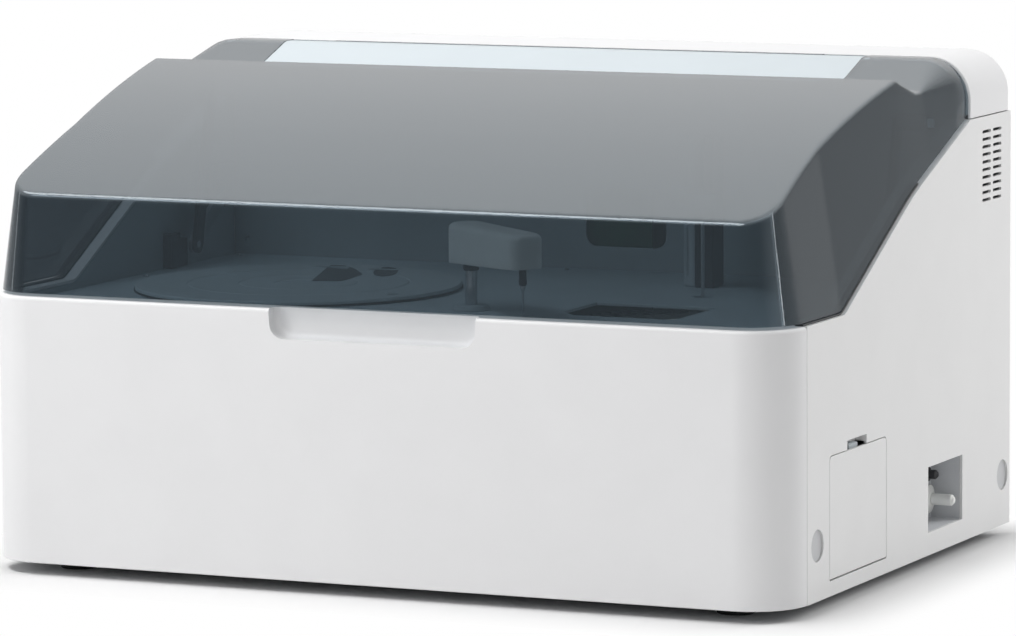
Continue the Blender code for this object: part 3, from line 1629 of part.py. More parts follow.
def syringe_block():
    """The upright plate behind the door that holds the glass barrel."""
    floor = cover_bottom + panel_seam + pan_thickness + seat_gap
    half = syringe_plate_width / 2
    x1 = syringe_x + syringe_plate
    made = block("syringe_block", (syringe_x, syringe_y - half, floor), (x1, syringe_y + half,
                                                                        syringe_top), painted_steel)
    axis_x = x1 + barrel_offset
    clamp = block("barrel_clamp", (x1 - moulded_edge, syringe_y - barrel_radius * 3 / 2, barrel_bottom),
                  (axis_x + barrel_radius + moulded_edge, syringe_y + barrel_radius * 3 / 2, barrel_top),
                  painted_steel)
    bore = rod("barrel_bore", barrel_bore_radius, (axis_x, syringe_y, barrel_bottom - overrun),
               (axis_x, syringe_y, barrel_top - cover_wall), painted_steel)
    fuse(made, clamp)
    return cut(made, bore)


def syringe_plunger():
    axis_x = syringe_x + syringe_plate + barrel_offset
    head = plunger_bottom + plunger_head_height
    rod_radius = plunger_radius * 2 / 3
    seal = barrel_top - cover_wall * 4
    profile = [(0, seal + cover_wall * 3 / 2), (plunger_radius, seal + cover_wall),
               (plunger_radius, seal - cover_wall), (rod_radius, seal - cover_wall),
               (rod_radius, head), (plunger_head_radius, head), (plunger_head_radius, plunger_bottom),
               (0, plunger_bottom)]
    return smooth(turned("syringe_plunger", profile, (axis_x, syringe_y, 0), steel))


# Connection bay

def connection_bay():
    """The recessed box behind the side panel's opening, with the panel for the fittings."""
    inset = bay_wall
    face = half_width - cover_wall - seat_gap
    outer = rectangle(bay_front_y - inset, bay_bottom - inset, bay_rear_y + inset, bay_top + inset)
    made = flat_solid("connection_bay", [outer], bay_floor_x - inset, face, "YZ", wall_plastic)
    inner = rectangle(bay_front_y, bay_bottom, bay_rear_y, bay_top)
    hollow = flat_solid("bay_hollow", [inner], bay_floor_x, face + overrun, "YZ", wall_plastic)
    return cut(made, hollow)


def drain_outlet():
    """The white flange and neck that the drain cap pushes on to."""
    flange_end = drain_flange_length
    neck_end = flange_end + drain_neck_length
    bore = drain_neck_radius / 2
    shoulder = drain_neck_radius * 2
    profile = [(drain_neck_radius, neck_end), (drain_neck_radius, flange_end),
               (shoulder, flange_end), (drain_flange_radius, flange_end * 2 / 3),
               (drain_flange_radius, seat_gap), (bore, seat_gap), (bore, neck_end)]
    return smooth(turned("drain_outlet", profile, (bay_floor_x, drain_y, drain_z), nylon, axis="X"))


def drain_cap():
    """The push-on cap over the drain's neck."""
    start = drain_flange_length + seat_gap
    end = start + drain_neck_length + drain_cap_wall
    bore = drain_neck_radius + seat_gap
    round_off = drain_cap_radius / 2
    profile = [(0, end), (drain_cap_radius - round_off, end), (drain_cap_radius, end - round_off),
               (drain_cap_radius, start), (bore, start),
               (bore, end - drain_cap_wall + seat_gap), (0, end - drain_cap_wall + seat_gap)]
    return smooth(turned("drain_cap", profile, (bay_floor_x, drain_y, drain_z), nylon, axis="X"))


def sensor_plug():
    end = plug_length
    profile = [(0, end), (plug_radius / 2, end), (plug_radius, end - plug_radius / 2),
               (plug_radius, plug_length / 3), (plug_radius * 3 / 2, plug_length / 3),
               (plug_radius * 3 / 2, seat_gap), (0, seat_gap)]
    return smooth(turned("sensor_plug", profile, (bay_floor_x, drain_y, plug_z), black_plastic,
                         axis="X"))


def panel_cap(name, y, z):
    """A round cap in the side panel, set a little below the surface."""
    face = half_width - cap_recess
    dish = cap_thickness / 3
    profile = [(0, -dish), (cap_radius * 2 / 3, -dish), (cap_radius * 5 / 6, 0), (cap_radius, 0),
               (cap_radius, -cap_thickness), (0, -cap_thickness)]
    return smooth(turned(name, profile, (face, y, z), white_plastic, axis="X"))


# Rear of the machine

def fan_frame():
    """The fan's square frame, with three struts to the motor's boss."""
    half = fan_size / 2
    back = half_depth - cover_wall - seat_gap
    outer = rectangle(fan_x - half, fan_z - half, fan_x + half, fan_z + half, fan_size / 20)
    made = flat_solid("fan_frame", [outer, circle(fan_x, fan_z, fan_bore_radius, fine_sides)],
                      back - fan_depth, back, "XZ", black_plastic)
    face = back - fan_depth
    for index in range(3):
        turn = 120.0 * index + 90.0
        tip = on_circle((fan_x, fan_z), fan_bore_radius + fan_strut_width, turn)
        strut = flat_solid("fan_strut", [slot_outline([(fan_x, fan_z), tip], fan_strut_width / 2)],
                           face + seat_gap, face + fan_strut_depth, "XZ", black_plastic)
        fuse(made, strut)
    boss = rod("fan_boss", fan_boss_radius, (fan_x, face + seat_gap * 2, fan_z),
               (fan_x, face + fan_strut_depth - seat_gap, fan_z), black_plastic)
    axle = rod("fan_axle", spindle_radius / 3, (fan_x, face + fan_strut_depth / 2, fan_z),
               (fan_x, back - fan_depth / 3, fan_z), black_plastic, small_sides)
    return fuse(made, boss, axle)


def fan_rotor():
    """The hub with its twisted blades, turning on the frame's axle."""
    back = half_depth - cover_wall - seat_gap
    start = back - fan_depth + fan_strut_depth + run_gap
    end = back - fan_strut_depth
    made = rod("fan_rotor", fan_hub_radius, (fan_x, start, fan_z), (fan_x, end, fan_z), black_plastic)
    middle = (start + end) / 2
    length = (end - start) * 4 / 5
    for index in range(fan_blade_count):
        turn = 2 * pi * index / fan_blade_count
        inner = fan_hub_radius * 4 / 5
        blade = block("fan_blade", (inner, -length / 2, -fan_blade_thickness / 2),
                      (fan_blade_reach, length / 2, fan_blade_thickness / 2), black_plastic)
        span = Vector(((inner + fan_blade_reach) / 2, 0, 0))
        pose = Matrix.Translation((fan_x, middle, fan_z)) @ Matrix.Rotation(turn, 4, "Y")
        pose = pose @ Matrix.Translation(span)
        pose = pose @ Matrix.Rotation(radians(fan_blade_twist_deg), 4, "X")
        blade.matrix_world = pose
        fuse(made, blade)
    bore = rod("rotor_bore", spindle_radius / 3 + run_gap, (fan_x, start - overrun, fan_z),
               (fan_x, back - fan_depth / 3 + run_gap, fan_z), black_plastic, small_sides)
    return cut(made, bore)


def power_inlet():
    """The inlet module: a flanged body with the mains socket and the switch's pocket."""
    back = half_depth
    half_w = inlet_width / 2
    half_h = inlet_height / 2
    body = rectangle(inlet_x - half_w, inlet_z - half_h, inlet_x + half_w, inlet_z + half_h)
    made = flat_solid("power_inlet", [body], back - inlet_depth, back - inlet_flange_wall / 2, "XZ",
                      black_plastic)
    socket_z = inlet_z + socket_z_offset
    socket = rounded([(inlet_x - socket_width / 2, socket_z - socket_height / 2),
                      (inlet_x + socket_width / 2, socket_z - socket_height / 2),
                      (inlet_x + socket_width / 2, socket_z + socket_height / 6),
                      (inlet_x + socket_width / 3, socket_z + socket_height / 2),
                      (inlet_x - socket_width / 3, socket_z + socket_height / 2),
                      (inlet_x - socket_width / 2, socket_z + socket_height / 6)])
    hollow = flat_solid("socket_hollow", [socket], back - socket_depth, back + overrun, "XZ",
                        black_plastic)
    switch_z = inlet_z + rocker_z_offset
    pocket = block("rocker_pocket",
                   (inlet_x - rocker_width / 2 - run_gap, back - rocker_depth - cover_wall,
                    switch_z - rocker_height / 2 - run_gap * 3),
                   (inlet_x + rocker_width / 2 + run_gap, back + overrun,
                    switch_z + rocker_height / 2 + run_gap * 3), black_plastic)
    return cut(made, hollow, pocket)


def power_rocker():
    """The switch's rocker, resting with its lower half pressed in."""
    switch_z = inlet_z + rocker_z_offset
    half_w = rocker_width / 2
    half_h = rocker_height / 2 - run_gap * 2
    face = rocker_axis_depth * 3 / 4
    outline = rounded([(face, -half_h + moulded_edge), (face / 3, 0),
                       (face, half_h - moulded_edge), (0, half_h),
                       (-rocker_axis_depth, half_h / 3), (-rocker_axis_depth, -half_h / 3),
                       (0, -half_h)])
    made = flat_solid("power_rocker", [outline], -half_w, half_w, "YZ", rubber)
    made.location = (inlet_x, half_depth - rocker_axis_depth, switch_z)
    made.rotation_euler = (made.matrix_world.to_euler())
    turn = Matrix.Rotation(radians(rocker_tilt_deg), 4, "X")
    made.matrix_world = Matrix.Translation(made.location) @ turn @ plane_axes["YZ"]
    return made


def power_supply():
    floor = cover_bottom + panel_seam + pan_thickness + seat_gap
    return block("power_supply", (supply_x - supply_width / 2, supply_y - supply_depth / 2, floor),
                 (supply_x + supply_width / 2, supply_y + supply_depth / 2, floor + supply_height),
                 aluminium, supply_bevel)


def control_board():
    """The circuit board on stand-offs behind the back wall, with its larger chips."""
    near = back_wall_y + inner_wall + seat_gap
    face = near + board_standoff
    half = board_width / 2
    shift = -half / 2
    made = block("control_board", (shift - half, face, board_bottom),
                 (shift + half, face + board_thickness, board_bottom + board_height), board_green)
    inset = board_standoff_radius * 2
    for x in (shift - half + inset, shift + half - inset):
        post = rod("board_post", board_standoff_radius,
                   (x, near, board_bottom + board_height - inset),
                   (x, face + board_thickness / 2, board_bottom + board_height - inset), board_green,
                   small_sides)
        fuse(made, post)
    for share in (-0.6, 0.0, 0.6):
        x = shift + half * share
        size = board_height / 8
        level = board_bottom + board_height / 2
        chip = block("board_chip", (x - size, face + board_thickness / 2, level - size),
                     (x + size, face + board_thickness + chip_height, level + size), board_green)
        fuse(made, chip)
    return made


def build():
    front_cover()
    side_panel("left_side_panel", -1)
    right_panel_openings(side_panel("right_side_panel", 1))
    roof_cover()
    rear_panel()
    base_chassis()
    for label, side, end in (("front_left", -1, -1), ("front_right", 1, -1),
                             ("rear_left", -1, 1), ("rear_right", 1, 1)):
        foot("foot_" + label, side * (half_width - foot_inset_x), end * (half_depth - foot_inset_y))
    work_deck()
    inner_side_wall("left_inner_wall", -1)
    inner_side_wall("right_inner_wall", 1)
    back_wall()
    lid_shell()
    lid_top_strip()
    for label, side in (("left", -1), ("right", 1)):
        lid_hinge_leaf("lid_hinge_leaf_" + label, side)
        body_hinge_leaf("body_hinge_leaf_" + label, side)
        stay_damper("stay_damper_" + label, side)
        stay_arm("stay_arm_" + label, side)
        stay_link("stay_link_" + label, side)
    lid_lock()
    reagent_chamber()
    reagent_carousel()
    disk_cover()
    motor("reagent_motor", (reagent_x, reagent_y), chamber_floor - chamber_wall * 3 - seat_gap)
    reaction_tray()
    reaction_disk()
    reaction_pinion()
    motor("reaction_motor", pinion_place, tray_floor + motor_boss_height - seat_gap)
    photometer()
    probe_guide()
    probe_column()
    probe_arm()
    probe_needle()
    wash_well()
    wash_tower()
    wash_head()
    side_door()
    door_catch()
    syringe_block()
    syringe_plunger()
    connection_bay()
    drain_outlet()
    drain_cap()
    sensor_plug()
    panel_cap("front_panel_cap", front_cap_y, front_cap_z)
    panel_cap("rear_panel_cap", rear_cap_y, rear_cap_z)
    fan_frame()
    fan_rotor()
    power_inlet()
    power_rocker()
    power_supply()
    control_board()


build()
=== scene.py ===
import json
from math import acos, atan2, ceil, cos, hypot, pi, radians, sin, tan

import bmesh
import bpy
from mathutils import Matrix, Vector


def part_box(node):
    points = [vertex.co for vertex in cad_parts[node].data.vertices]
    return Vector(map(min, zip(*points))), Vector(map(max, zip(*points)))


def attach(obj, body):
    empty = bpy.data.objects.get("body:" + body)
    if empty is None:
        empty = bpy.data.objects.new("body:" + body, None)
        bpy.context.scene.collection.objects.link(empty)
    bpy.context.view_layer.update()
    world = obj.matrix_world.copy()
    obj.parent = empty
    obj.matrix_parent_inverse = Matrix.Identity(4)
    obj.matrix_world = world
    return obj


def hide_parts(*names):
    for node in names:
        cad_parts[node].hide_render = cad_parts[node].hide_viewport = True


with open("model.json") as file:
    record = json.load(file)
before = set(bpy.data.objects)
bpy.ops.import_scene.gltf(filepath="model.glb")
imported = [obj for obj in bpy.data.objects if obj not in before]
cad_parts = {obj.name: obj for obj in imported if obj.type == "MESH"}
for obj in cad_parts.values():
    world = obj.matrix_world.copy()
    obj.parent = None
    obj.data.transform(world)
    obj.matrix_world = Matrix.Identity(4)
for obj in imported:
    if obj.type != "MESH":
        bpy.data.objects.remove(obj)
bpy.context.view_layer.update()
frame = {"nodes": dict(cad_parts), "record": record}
record = frame["record"]
rides_on = {node: body for body, nodes in record["behaviour"]["bodies"].items() for node in nodes}

# %% [markdown]
# ## Finishes
# Moulded plastic is never one flat colour. Each finish mixes two close shades with a slow
# noise, lets the roughness wander a little, and adds a fine grain through a Bump node. All of
# it reads Object coordinates, so the grain has the same scale on every piece.
# %% A maker of finishes


def linear(red, green, blue):
    """Colour of 0 to 255 on screen, as the linear values that a shader takes."""
    share = [value / 255 for value in (red, green, blue)]
    return tuple(c / 12.92 if c <= 0.04045 else ((c + 0.055) / 1.055) ** 2.4 for c in share)


def shaded(colour, factor):
    return (*(min(1.0, value * factor) for value in colour), 1.0)


def add_node(tree, kind, operation=None, **values):
    """A new node with its operation and inputs set; From_Min stands for the input From Min."""
    made = tree.nodes.new(kind)
    if operation:
        made.operation = operation
    for name, value in values.items():
        made.inputs[name.replace("_", " ")].default_value = value
    return made


def wire(tree, *links):
    """Link outputs to inputs, each link given as (node, output, node, input)."""
    for source, output, target, entry in links:
        tree.links.new(source.outputs[output], target.inputs[entry])


def new_material(name):
    made = bpy.data.materials.new(name)
    made.use_nodes = True
    return made, made.node_tree, made.node_tree.nodes["Principled BSDF"]


def two_shades(tree, colour, spread, places=(0.0, 1.0)):
    """A ramp from a darker to a lighter shade of one colour."""
    made = tree.nodes.new("ShaderNodeValToRGB")
    for index, factor in enumerate((1 - spread, 1 + spread)):
        made.color_ramp.elements[index].position = places[index]
        made.color_ramp.elements[index].color = shaded(colour, factor)
    return made


def finish(name, colour, roughness, metallic=0.0, grain=900.0, bump=0.08, bump_height=0.0001,
           mottle=14.0, spread=0.03, stretch=(1, 1, 1), wander=0.06):
    """A Principled finish with a mottled colour, a wandering roughness and a fine grain."""
    made, tree, shader = new_material(name)
    shader.inputs["Metallic"].default_value = metallic
    place = add_node(tree, "ShaderNodeTexCoord")
    scaled = add_node(tree, "ShaderNodeMapping", Scale=stretch)
    slow = add_node(tree, "ShaderNodeTexNoise", Scale=mottle, Detail=3.0)
    fine = add_node(tree, "ShaderNodeTexNoise", Scale=grain, Detail=2.0)
    shades = two_shades(tree, colour, spread, (0.35, 0.65))
    rough = add_node(tree, "ShaderNodeMapRange", To_Min=max(0.0, roughness - wander),
                     To_Max=min(1.0, roughness + wander))
    lifted = add_node(tree, "ShaderNodeBump", Strength=bump, Distance=bump_height)
    wire(tree, (place, "Object", scaled, "Vector"), (scaled, "Vector", slow, "Vector"),
         (scaled, "Vector", fine, "Vector"), (slow, "Fac", shades, "Fac"),
         (shades, "Color", shader, "Base Color"), (fine, "Fac", rough, "Value"),
         (rough, "Result", shader, "Roughness"), (fine, "Fac", lifted, "Height"),
         (lifted, "Normal", shader, "Normal"))
    return made


# %% Plastics, rubber and metals of the machine
casing_white = finish("casing_white", linear(232, 232, 233), 0.44, grain=1400, bump=0.10,
                      spread=0.008)
panel_white = finish("panel_white", linear(231, 231, 231), 0.48, grain=1200, bump=0.14, spread=0.008)
fitting_white = finish("fitting_white", linear(236, 237, 234), 0.38, grain=700, bump=0.05)
strip_pale = finish("strip_pale", linear(192, 203, 209), 0.32, grain=500, bump=0.03, spread=0.015)
deck_blue_grey = finish("deck_blue_grey", linear(196, 207, 212), 0.50, grain=1000, bump=0.12)
cover_pale = finish("cover_pale", linear(206, 216, 220), 0.42, grain=900, bump=0.08)
wall_grey = finish("wall_grey", linear(178, 186, 190), 0.55, grain=900, bump=0.12)
bay_grey = finish("bay_grey", linear(206, 208, 211), 0.50, grain=900, bump=0.12)
charcoal = finish("charcoal", linear(44, 46, 48), 0.50, grain=900, bump=0.15, spread=0.08)
black_moulding = finish("black_moulding", linear(30, 31, 33), 0.42, grain=900, bump=0.12, spread=0.10)
foot_rubber = finish("foot_rubber", linear(38, 38, 39), 0.85, grain=600, bump=0.30, spread=0.12)
# Dark grey for the cover's windows, also used for the painted shadow ring round each side cap.
window_grey = finish("window_grey", linear(96, 97, 98), 0.40, grain=700, bump=0.06)
cap_grey = finish("cap_grey", linear(196, 197, 199), 0.42, grain=900, bump=0.08)
natural_nylon = finish("natural_nylon", linear(232, 230, 222), 0.40, grain=700, bump=0.06)
bright_steel = finish("bright_steel", linear(200, 202, 205), 0.24, metallic=1.0, grain=300,
                      bump=0.05, stretch=(1, 1, 0.04), spread=0.04)
spring_steel = finish("spring_steel", linear(176, 179, 183), 0.34, metallic=1.0, grain=500,
                      bump=0.08, stretch=(1, 0.08, 1), spread=0.05)
satin_aluminium = finish("satin_aluminium", linear(205, 207, 209), 0.38, metallic=1.0, grain=600,
                         bump=0.08, spread=0.03)
grey_coat = finish("grey_coat", linear(150, 153, 156), 0.52, grain=450, bump=0.30, spread=0.04)
print("finishes:", len(bpy.data.materials))

# %% [markdown]
# ## The smoke plastic
# The lid is one moulding of clear plastic with a dark dye. Looked at squarely it lets a share
# of the light through, and at a low angle it mirrors the room. A Fresnel node mixes a
# Transparent and a Principled shader, and shadow rays get a share of their own, so that light
# still falls through the lid on the deck.
# %% Make the smoke plastic and the clear ones


def see_through(name, colour, roughness, facing, grazing, ior=1.49, passes=(1, 1, 1), shadow=None):
    """A dyed clear plastic, more opaque at a low angle than when it is looked at squarely."""
    made, tree, shader = new_material(name)
    shader.inputs["IOR"].default_value = ior
    shader.inputs["Specular Tint"].default_value = (*(share ** 1.5 for share in passes), 1.0)
    place = add_node(tree, "ShaderNodeTexCoord")
    cloud = add_node(tree, "ShaderNodeTexNoise", Scale=5.0)
    dye = two_shades(tree, colour, 0.06)
    rough = add_node(tree, "ShaderNodeMapRange", To_Min=roughness * 0.7, To_Max=roughness * 1.3)
    mirror = add_node(tree, "ShaderNodeFresnel", IOR=1.49)
    solid = add_node(tree, "ShaderNodeMapRange", From_Min=0.04, From_Max=0.40, To_Min=facing,
                     To_Max=grazing)
    clear = add_node(tree, "ShaderNodeBsdfTransparent", Color=(*passes, 1.0))
    mix = add_node(tree, "ShaderNodeMixShader")
    wire(tree, (place, "Object", cloud, "Vector"), (cloud, "Fac", dye, "Fac"),
         (dye, "Color", shader, "Base Color"), (cloud, "Fac", rough, "Value"),
         (rough, "Result", shader, "Roughness"), (mirror, "Fac", solid, "Value"),
         (solid, "Result", mix, "Fac"), (clear, "BSDF", mix, 1), (shader, "BSDF", mix, 2),
         (mix, "Shader", tree.nodes["Material Output"], "Surface"))
    if shadow is not None:
        kind = add_node(tree, "ShaderNodeLightPath")
        pick = add_node(tree, "ShaderNodeMix", B=shadow)
        wire(tree, (kind, "Is Shadow Ray", pick, "Factor"), (solid, "Result", pick, "A"),
             (pick, "Result", mix, "Fac"))
    return made


smoke = see_through("smoke", (0.016, 0.023, 0.029), 0.05, 0.46, 0.92, ior=1.9,
                    passes=(0.90, 0.96, 1.0), shadow=0.34)
cuvette_clear = see_through("cuvette_clear", (0.60, 0.72, 0.76), 0.04, 0.25, 0.80)

# %% [markdown]
# ## Helpers that make pieces
# A piece is a mesh whose place is in its own points. Booleans and modifiers are applied as
# soon as they have done their work, and the object is left at the origin, as the CAD's are.
# %% Objects, modifiers and booleans


def smoothed(made, angle_deg=32.0):
    """Shade a piece smooth, apart from the edges where its faces meet at more than the angle."""
    made.data.shade_smooth()
    made.data.set_sharp_from_angle(angle=radians(angle_deg))
    return made


def put(name, mesh, material, smooth_deg=32.0):
    made = bpy.data.objects.new(name, mesh)
    bpy.context.scene.collection.objects.link(made)
    mesh.materials.clear()
    mesh.materials.append(material)
    return smoothed(made, smooth_deg)


def settle(made):
    """Apply the modifiers and the placing, so that the mesh alone holds the shape."""
    bpy.context.view_layer.update()
    evaluated = made.evaluated_get(bpy.context.evaluated_depsgraph_get())
    mesh = bpy.data.meshes.new_from_object(evaluated)
    mesh.transform(made.matrix_world)
    made.modifiers.clear()
    made.data = mesh
    made.matrix_world = Matrix.Identity(4)
    return made


def combine(made, tool, operation):
    """Cut a tool out of a piece, or join it on, and take the tool away."""
    step = made.modifiers.new(operation.lower(), "BOOLEAN")
    step.operation = operation
    step.solver = "EXACT"
    step.object = tool
    settle(made)
    bpy.data.objects.remove(tool, do_unlink=True)
    return made


def cut(made, *tools):
    for tool in tools:
        combine(made, tool, "DIFFERENCE")
    return made


def join(made, *tools):
    for tool in tools:
        combine(made, tool, "UNION")
    return made


def soften(made, width, segments=2, angle_deg=38.0):
    """Round the sharp edges and even out the shading of the flat faces beside them."""
    edge = made.modifiers.new("soft_edges", "BEVEL")
    edge.width = width
    edge.segments = segments
    edge.limit_method = "ANGLE"
    edge.angle_limit = radians(angle_deg)
    edge.harden_normals = False
    even = made.modifiers.new("even_shading", "WEIGHTED_NORMAL")
    even.keep_sharp = True
    return made


def mesh_of(name, points, faces):
    mesh = bpy.data.meshes.new(name)
    mesh.from_pydata([tuple(point) for point in points], [], faces)
    work = bmesh.new()
    work.from_mesh(mesh)
    bmesh.ops.remove_doubles(work, verts=work.verts, dist=0.000001)
    bmesh.ops.recalc_face_normals(work, faces=work.faces)
    work.to_mesh(mesh)
    work.free()
    return mesh


def grid_faces(count, size, closed=False):
    """Faces between neighbouring rows of points; closed joins each row's ends."""
    faces = []
    for row in range(count - 1):
        for column in range(size if closed else size - 1):
            after = (column + 1) % size
            faces.append((row * size + column, row * size + after,
                          (row + 1) * size + after, (row + 1) * size + column))
    return faces


def skin(name, rows, material, closed=False, ends=False):
    """A sheet through rows of points; closed joins each row's ends, ends caps the first and last."""
    size = len(rows[0])
    faces = grid_faces(len(rows), size, closed)
    if ends:
        faces.append(tuple(range(size))[::-1])
        faces.append(tuple(range((len(rows) - 1) * size, len(rows) * size)))
    return put(name, mesh_of(name, [point for row in rows for point in row], faces), material)


def facing_up(made):
    """Turn a sheet's faces over if the topmost one looks down."""
    upper = max(made.data.polygons, key=lambda face: face.center.z)
    if upper.normal.z < 0:
        made.data.flip_normals()
    return made


def wall_sheet(made, thickness):
    step = made.modifiers.new("wall", "SOLIDIFY")
    step.thickness = thickness
    step.offset = -1.0
    step.use_even_offset = True
    return settle(made)


# %% Outlines in a plane


def arc(centre, radius, start, sweep, step_deg=6.0):
    steps = max(2, ceil(abs(sweep) / radians(step_deg) - 0.001))
    turns = [start + sweep * step / steps for step in range(steps + 1)]
    return [(centre[0] + radius * cos(turn), centre[1] + radius * sin(turn)) for turn in turns]


def rounded(corners, closed=True, step_deg=6.0):
    """Turn (x, y) and (x, y, radius) corners into an outline with round corners."""
    points = []
    count = len(corners)
    for index, corner in enumerate(corners):
        here = Vector(corner[:2])
        if len(corner) == 2 or (not closed and index in (0, count - 1)):
            points.append(tuple(here))
            continue
        before = (Vector(corners[index - 1][:2]) - here).normalized()
        after = (Vector(corners[(index + 1) % count][:2]) - here).normalized()
        half = acos(max(-1.0, min(1.0, before.dot(after)))) / 2
        centre = here + (before + after).normalized() * (corner[2] / sin(half))
        first = here + before * (corner[2] / tan(half)) - centre
        last = here + after * (corner[2] / tan(half)) - centre
        sweep = atan2(first.x * last.y - first.y * last.x, first.dot(last))
        points += arc(centre, corner[2], atan2(first.y, first.x), sweep, step_deg)
    kept = points[:1]
    for point in points[1:]:
        if hypot(point[0] - kept[-1][0], point[1] - kept[-1][1]) > 0.00001:
            kept.append(point)
    return kept


def rectangle(left, low, right, high, radius=0.0):
    corners = [(left, low), (right, low), (right, high), (left, high)]
    return rounded([(x, y, radius) for x, y in corners] if radius else corners)


def in_plane(point, level, plane):
    x, y = point
    return {"XY": (x, y, level), "XZ": (x, level, y), "YZ": (level, x, y)}[plane]


def slab(name, outline, low, high, plane, material):
    """A flat plate between two levels, with the given outline."""
    rows = [[in_plane(point, level, plane) for point in outline] for level in (low, high)]
    return skin(name, rows, material, closed=True, ends=True)


def block(name, low, high, material, bevel=0.0, segments=2):
    made = slab(name, rectangle(low[0], low[1], high[0], high[1]), low[2], high[2], "XY", material)
    return soften(made, bevel, segments) if bevel else made


def lathe(name, profile, place, material, sides=64, axis="Z", smooth_deg=32.0):
    """Turn a (radius, height) profile, which starts and ends on the axis or closes on itself."""
    closed = profile[0][0] > 0
    points = []
    for radius, level in profile:
        for side in range(sides):
            turn = 2 * pi * side / sides
            points.append(Vector((radius * cos(turn), radius * sin(turn), level)))
    faces = []
    count = len(profile)
    for index in range(count if closed else count - 1):
        nxt = (index + 1) % count
        for side in range(sides):
            after = (side + 1) % sides
            faces.append((index * sides + side, index * sides + after,
                          nxt * sides + after, nxt * sides + side))
    turn = {"Z": Matrix.Identity(4), "X": Matrix.Rotation(pi / 2, 4, "Y"),
            "Y": Matrix.Rotation(-pi / 2, 4, "X")}[axis]
    shift = Matrix.Translation(place) @ turn
    mesh = bpy.data.meshes.new(name)
    work = bmesh.new()
    verts = [work.verts.new(shift @ point) for point in points]
    for face in faces:
        work.faces.new([verts[index] for index in face])
    bmesh.ops.remove_doubles(work, verts=work.verts, dist=0.0000005)
    bmesh.ops.dissolve_degenerate(work, edges=work.edges, dist=0.0000005)
    bmesh.ops.recalc_face_normals(work, faces=work.faces)
    work.to_mesh(mesh)
    work.free()
    return put(name, mesh, material, smooth_deg)


def on_circle(centre, radius, turn_deg):
    turn = radians(turn_deg)
    return (centre[0] + radius * cos(turn), centre[1] + radius * sin(turn))


# %% [markdown]
# ## Dressing the CAD's own solids
# Many small parts have the right shape already and only lack the soft edge that every moulded
# or machined part has. A copy of the node is merged, its flat faces are joined, a Bevel
# rounds the edges, and the copy stands in for the node.
# %% Copies of CAD nodes with soft edges


def dressed(node, material, width, smooth_deg=32.0, segments=2, merge=True):
    mesh = frame["nodes"][node].data.copy()
    work = bmesh.new()
    work.from_mesh(mesh)
    bmesh.ops.remove_doubles(work, verts=work.verts, dist=0.00001)
    if merge:
        bmesh.ops.dissolve_limit(work, angle_limit=radians(1.0), verts=work.verts, edges=work.edges)
    work.to_mesh(mesh)
    work.free()
    made = put(node + "_part", mesh, material, smooth_deg)
    if width:
        soften(made, width, segments)
    return stand_for(made, node)


def stand_for(made, *nodes):
    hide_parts(*nodes)
    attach(made, rides_on[nodes[0]])
    return made


# %% [markdown]
# ## Repeating pieces with Geometry Nodes
# Screws and other repeated pieces are placed by one node tree. It takes a mesh of points, each
# with the direction that it faces, and sets a copy of a shape on every point. Realize
# Instances turns the copies into a plain mesh, which the export can keep.
# %% The tree that stamps a shape on points


def stamp_nodes(name, **kinds):
    """A node tree with the given inputs that sets a shape on points; the points come later."""
    tree = bpy.data.node_groups.new(name, "GeometryNodeTree")
    for label, kind in kinds.items():
        tree.interface.new_socket(label.replace("_", " "), in_out="INPUT",
                                  socket_type="NodeSocket" + kind)
    tree.interface.new_socket("Geometry", in_out="OUTPUT", socket_type="NodeSocketGeometry")
    given = add_node(tree, "NodeGroupInput")
    shape = add_node(tree, "GeometryNodeObjectInfo")
    place = add_node(tree, "GeometryNodeInstanceOnPoints")
    real = add_node(tree, "GeometryNodeRealizeInstances")
    paint = add_node(tree, "GeometryNodeSetMaterial")
    result = add_node(tree, "NodeGroupOutput")
    wire(tree, (given, "Shape", shape, "Object"), (shape, "Geometry", place, "Instance"),
         (place, "Instances", real, "Geometry"), (real, "Geometry", paint, "Geometry"),
         (given, "Material", paint, "Material"), (paint, "Geometry", result, "Geometry"))
    return tree, given, place


def stamping_tree():
    tree, given, place = stamp_nodes("stamp_on_points", Points="Geometry", Shape="Object",
                                     Size="Float", Material="Material")
    facing = add_node(tree, "GeometryNodeInputNamedAttribute", Name="facing")
    facing.data_type = "FLOAT_VECTOR"
    align = add_node(tree, "FunctionNodeAlignRotationToVector")
    align.axis = "Z"
    wire(tree, (given, "Points", place, "Points"), (facing, "Attribute", align, "Vector"),
         (align, "Rotation", place, "Rotation"), (given, "Size", place, "Scale"))
    return tree


stamp_tree = stamping_tree()


def set_inputs(step, tree, **values):
    """Set a Geometry Nodes modifier's inputs by the sockets' identifiers."""
    for item in tree.interface.items_tree:
        if item.in_out == "INPUT" and item.name.replace(" ", "_") in values:
            step[item.identifier] = values[item.name.replace(" ", "_")]


def grown(name, mesh, tree, body, place, **values):
    """A piece whose shape a node tree makes out of a mesh, on one body."""
    made = bpy.data.objects.new(name, mesh)
    bpy.context.scene.collection.objects.link(made)
    step = made.modifiers.new("stamp", "NODES")
    step.node_group = tree
    set_inputs(step, tree, **values)
    made.matrix_world = Matrix.Translation(place)
    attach(smoothed(settle(made)), body)
    return made


def stamped(name, shape, points, facing, material, body, size=1.0):
    """Copies of a shape at points, each turned to its facing direction, on one body."""
    mesh = bpy.data.meshes.new(name)
    mesh.from_pydata(points, [], [])
    attribute = mesh.attributes.new("facing", "FLOAT_VECTOR", "POINT")
    for entry in attribute.data:
        entry.vector = facing
    print(name, len(points), "copies")
    return grown(name, mesh, stamp_tree, body, (0, 0, 0), Shape=shape, Size=size, Material=material)


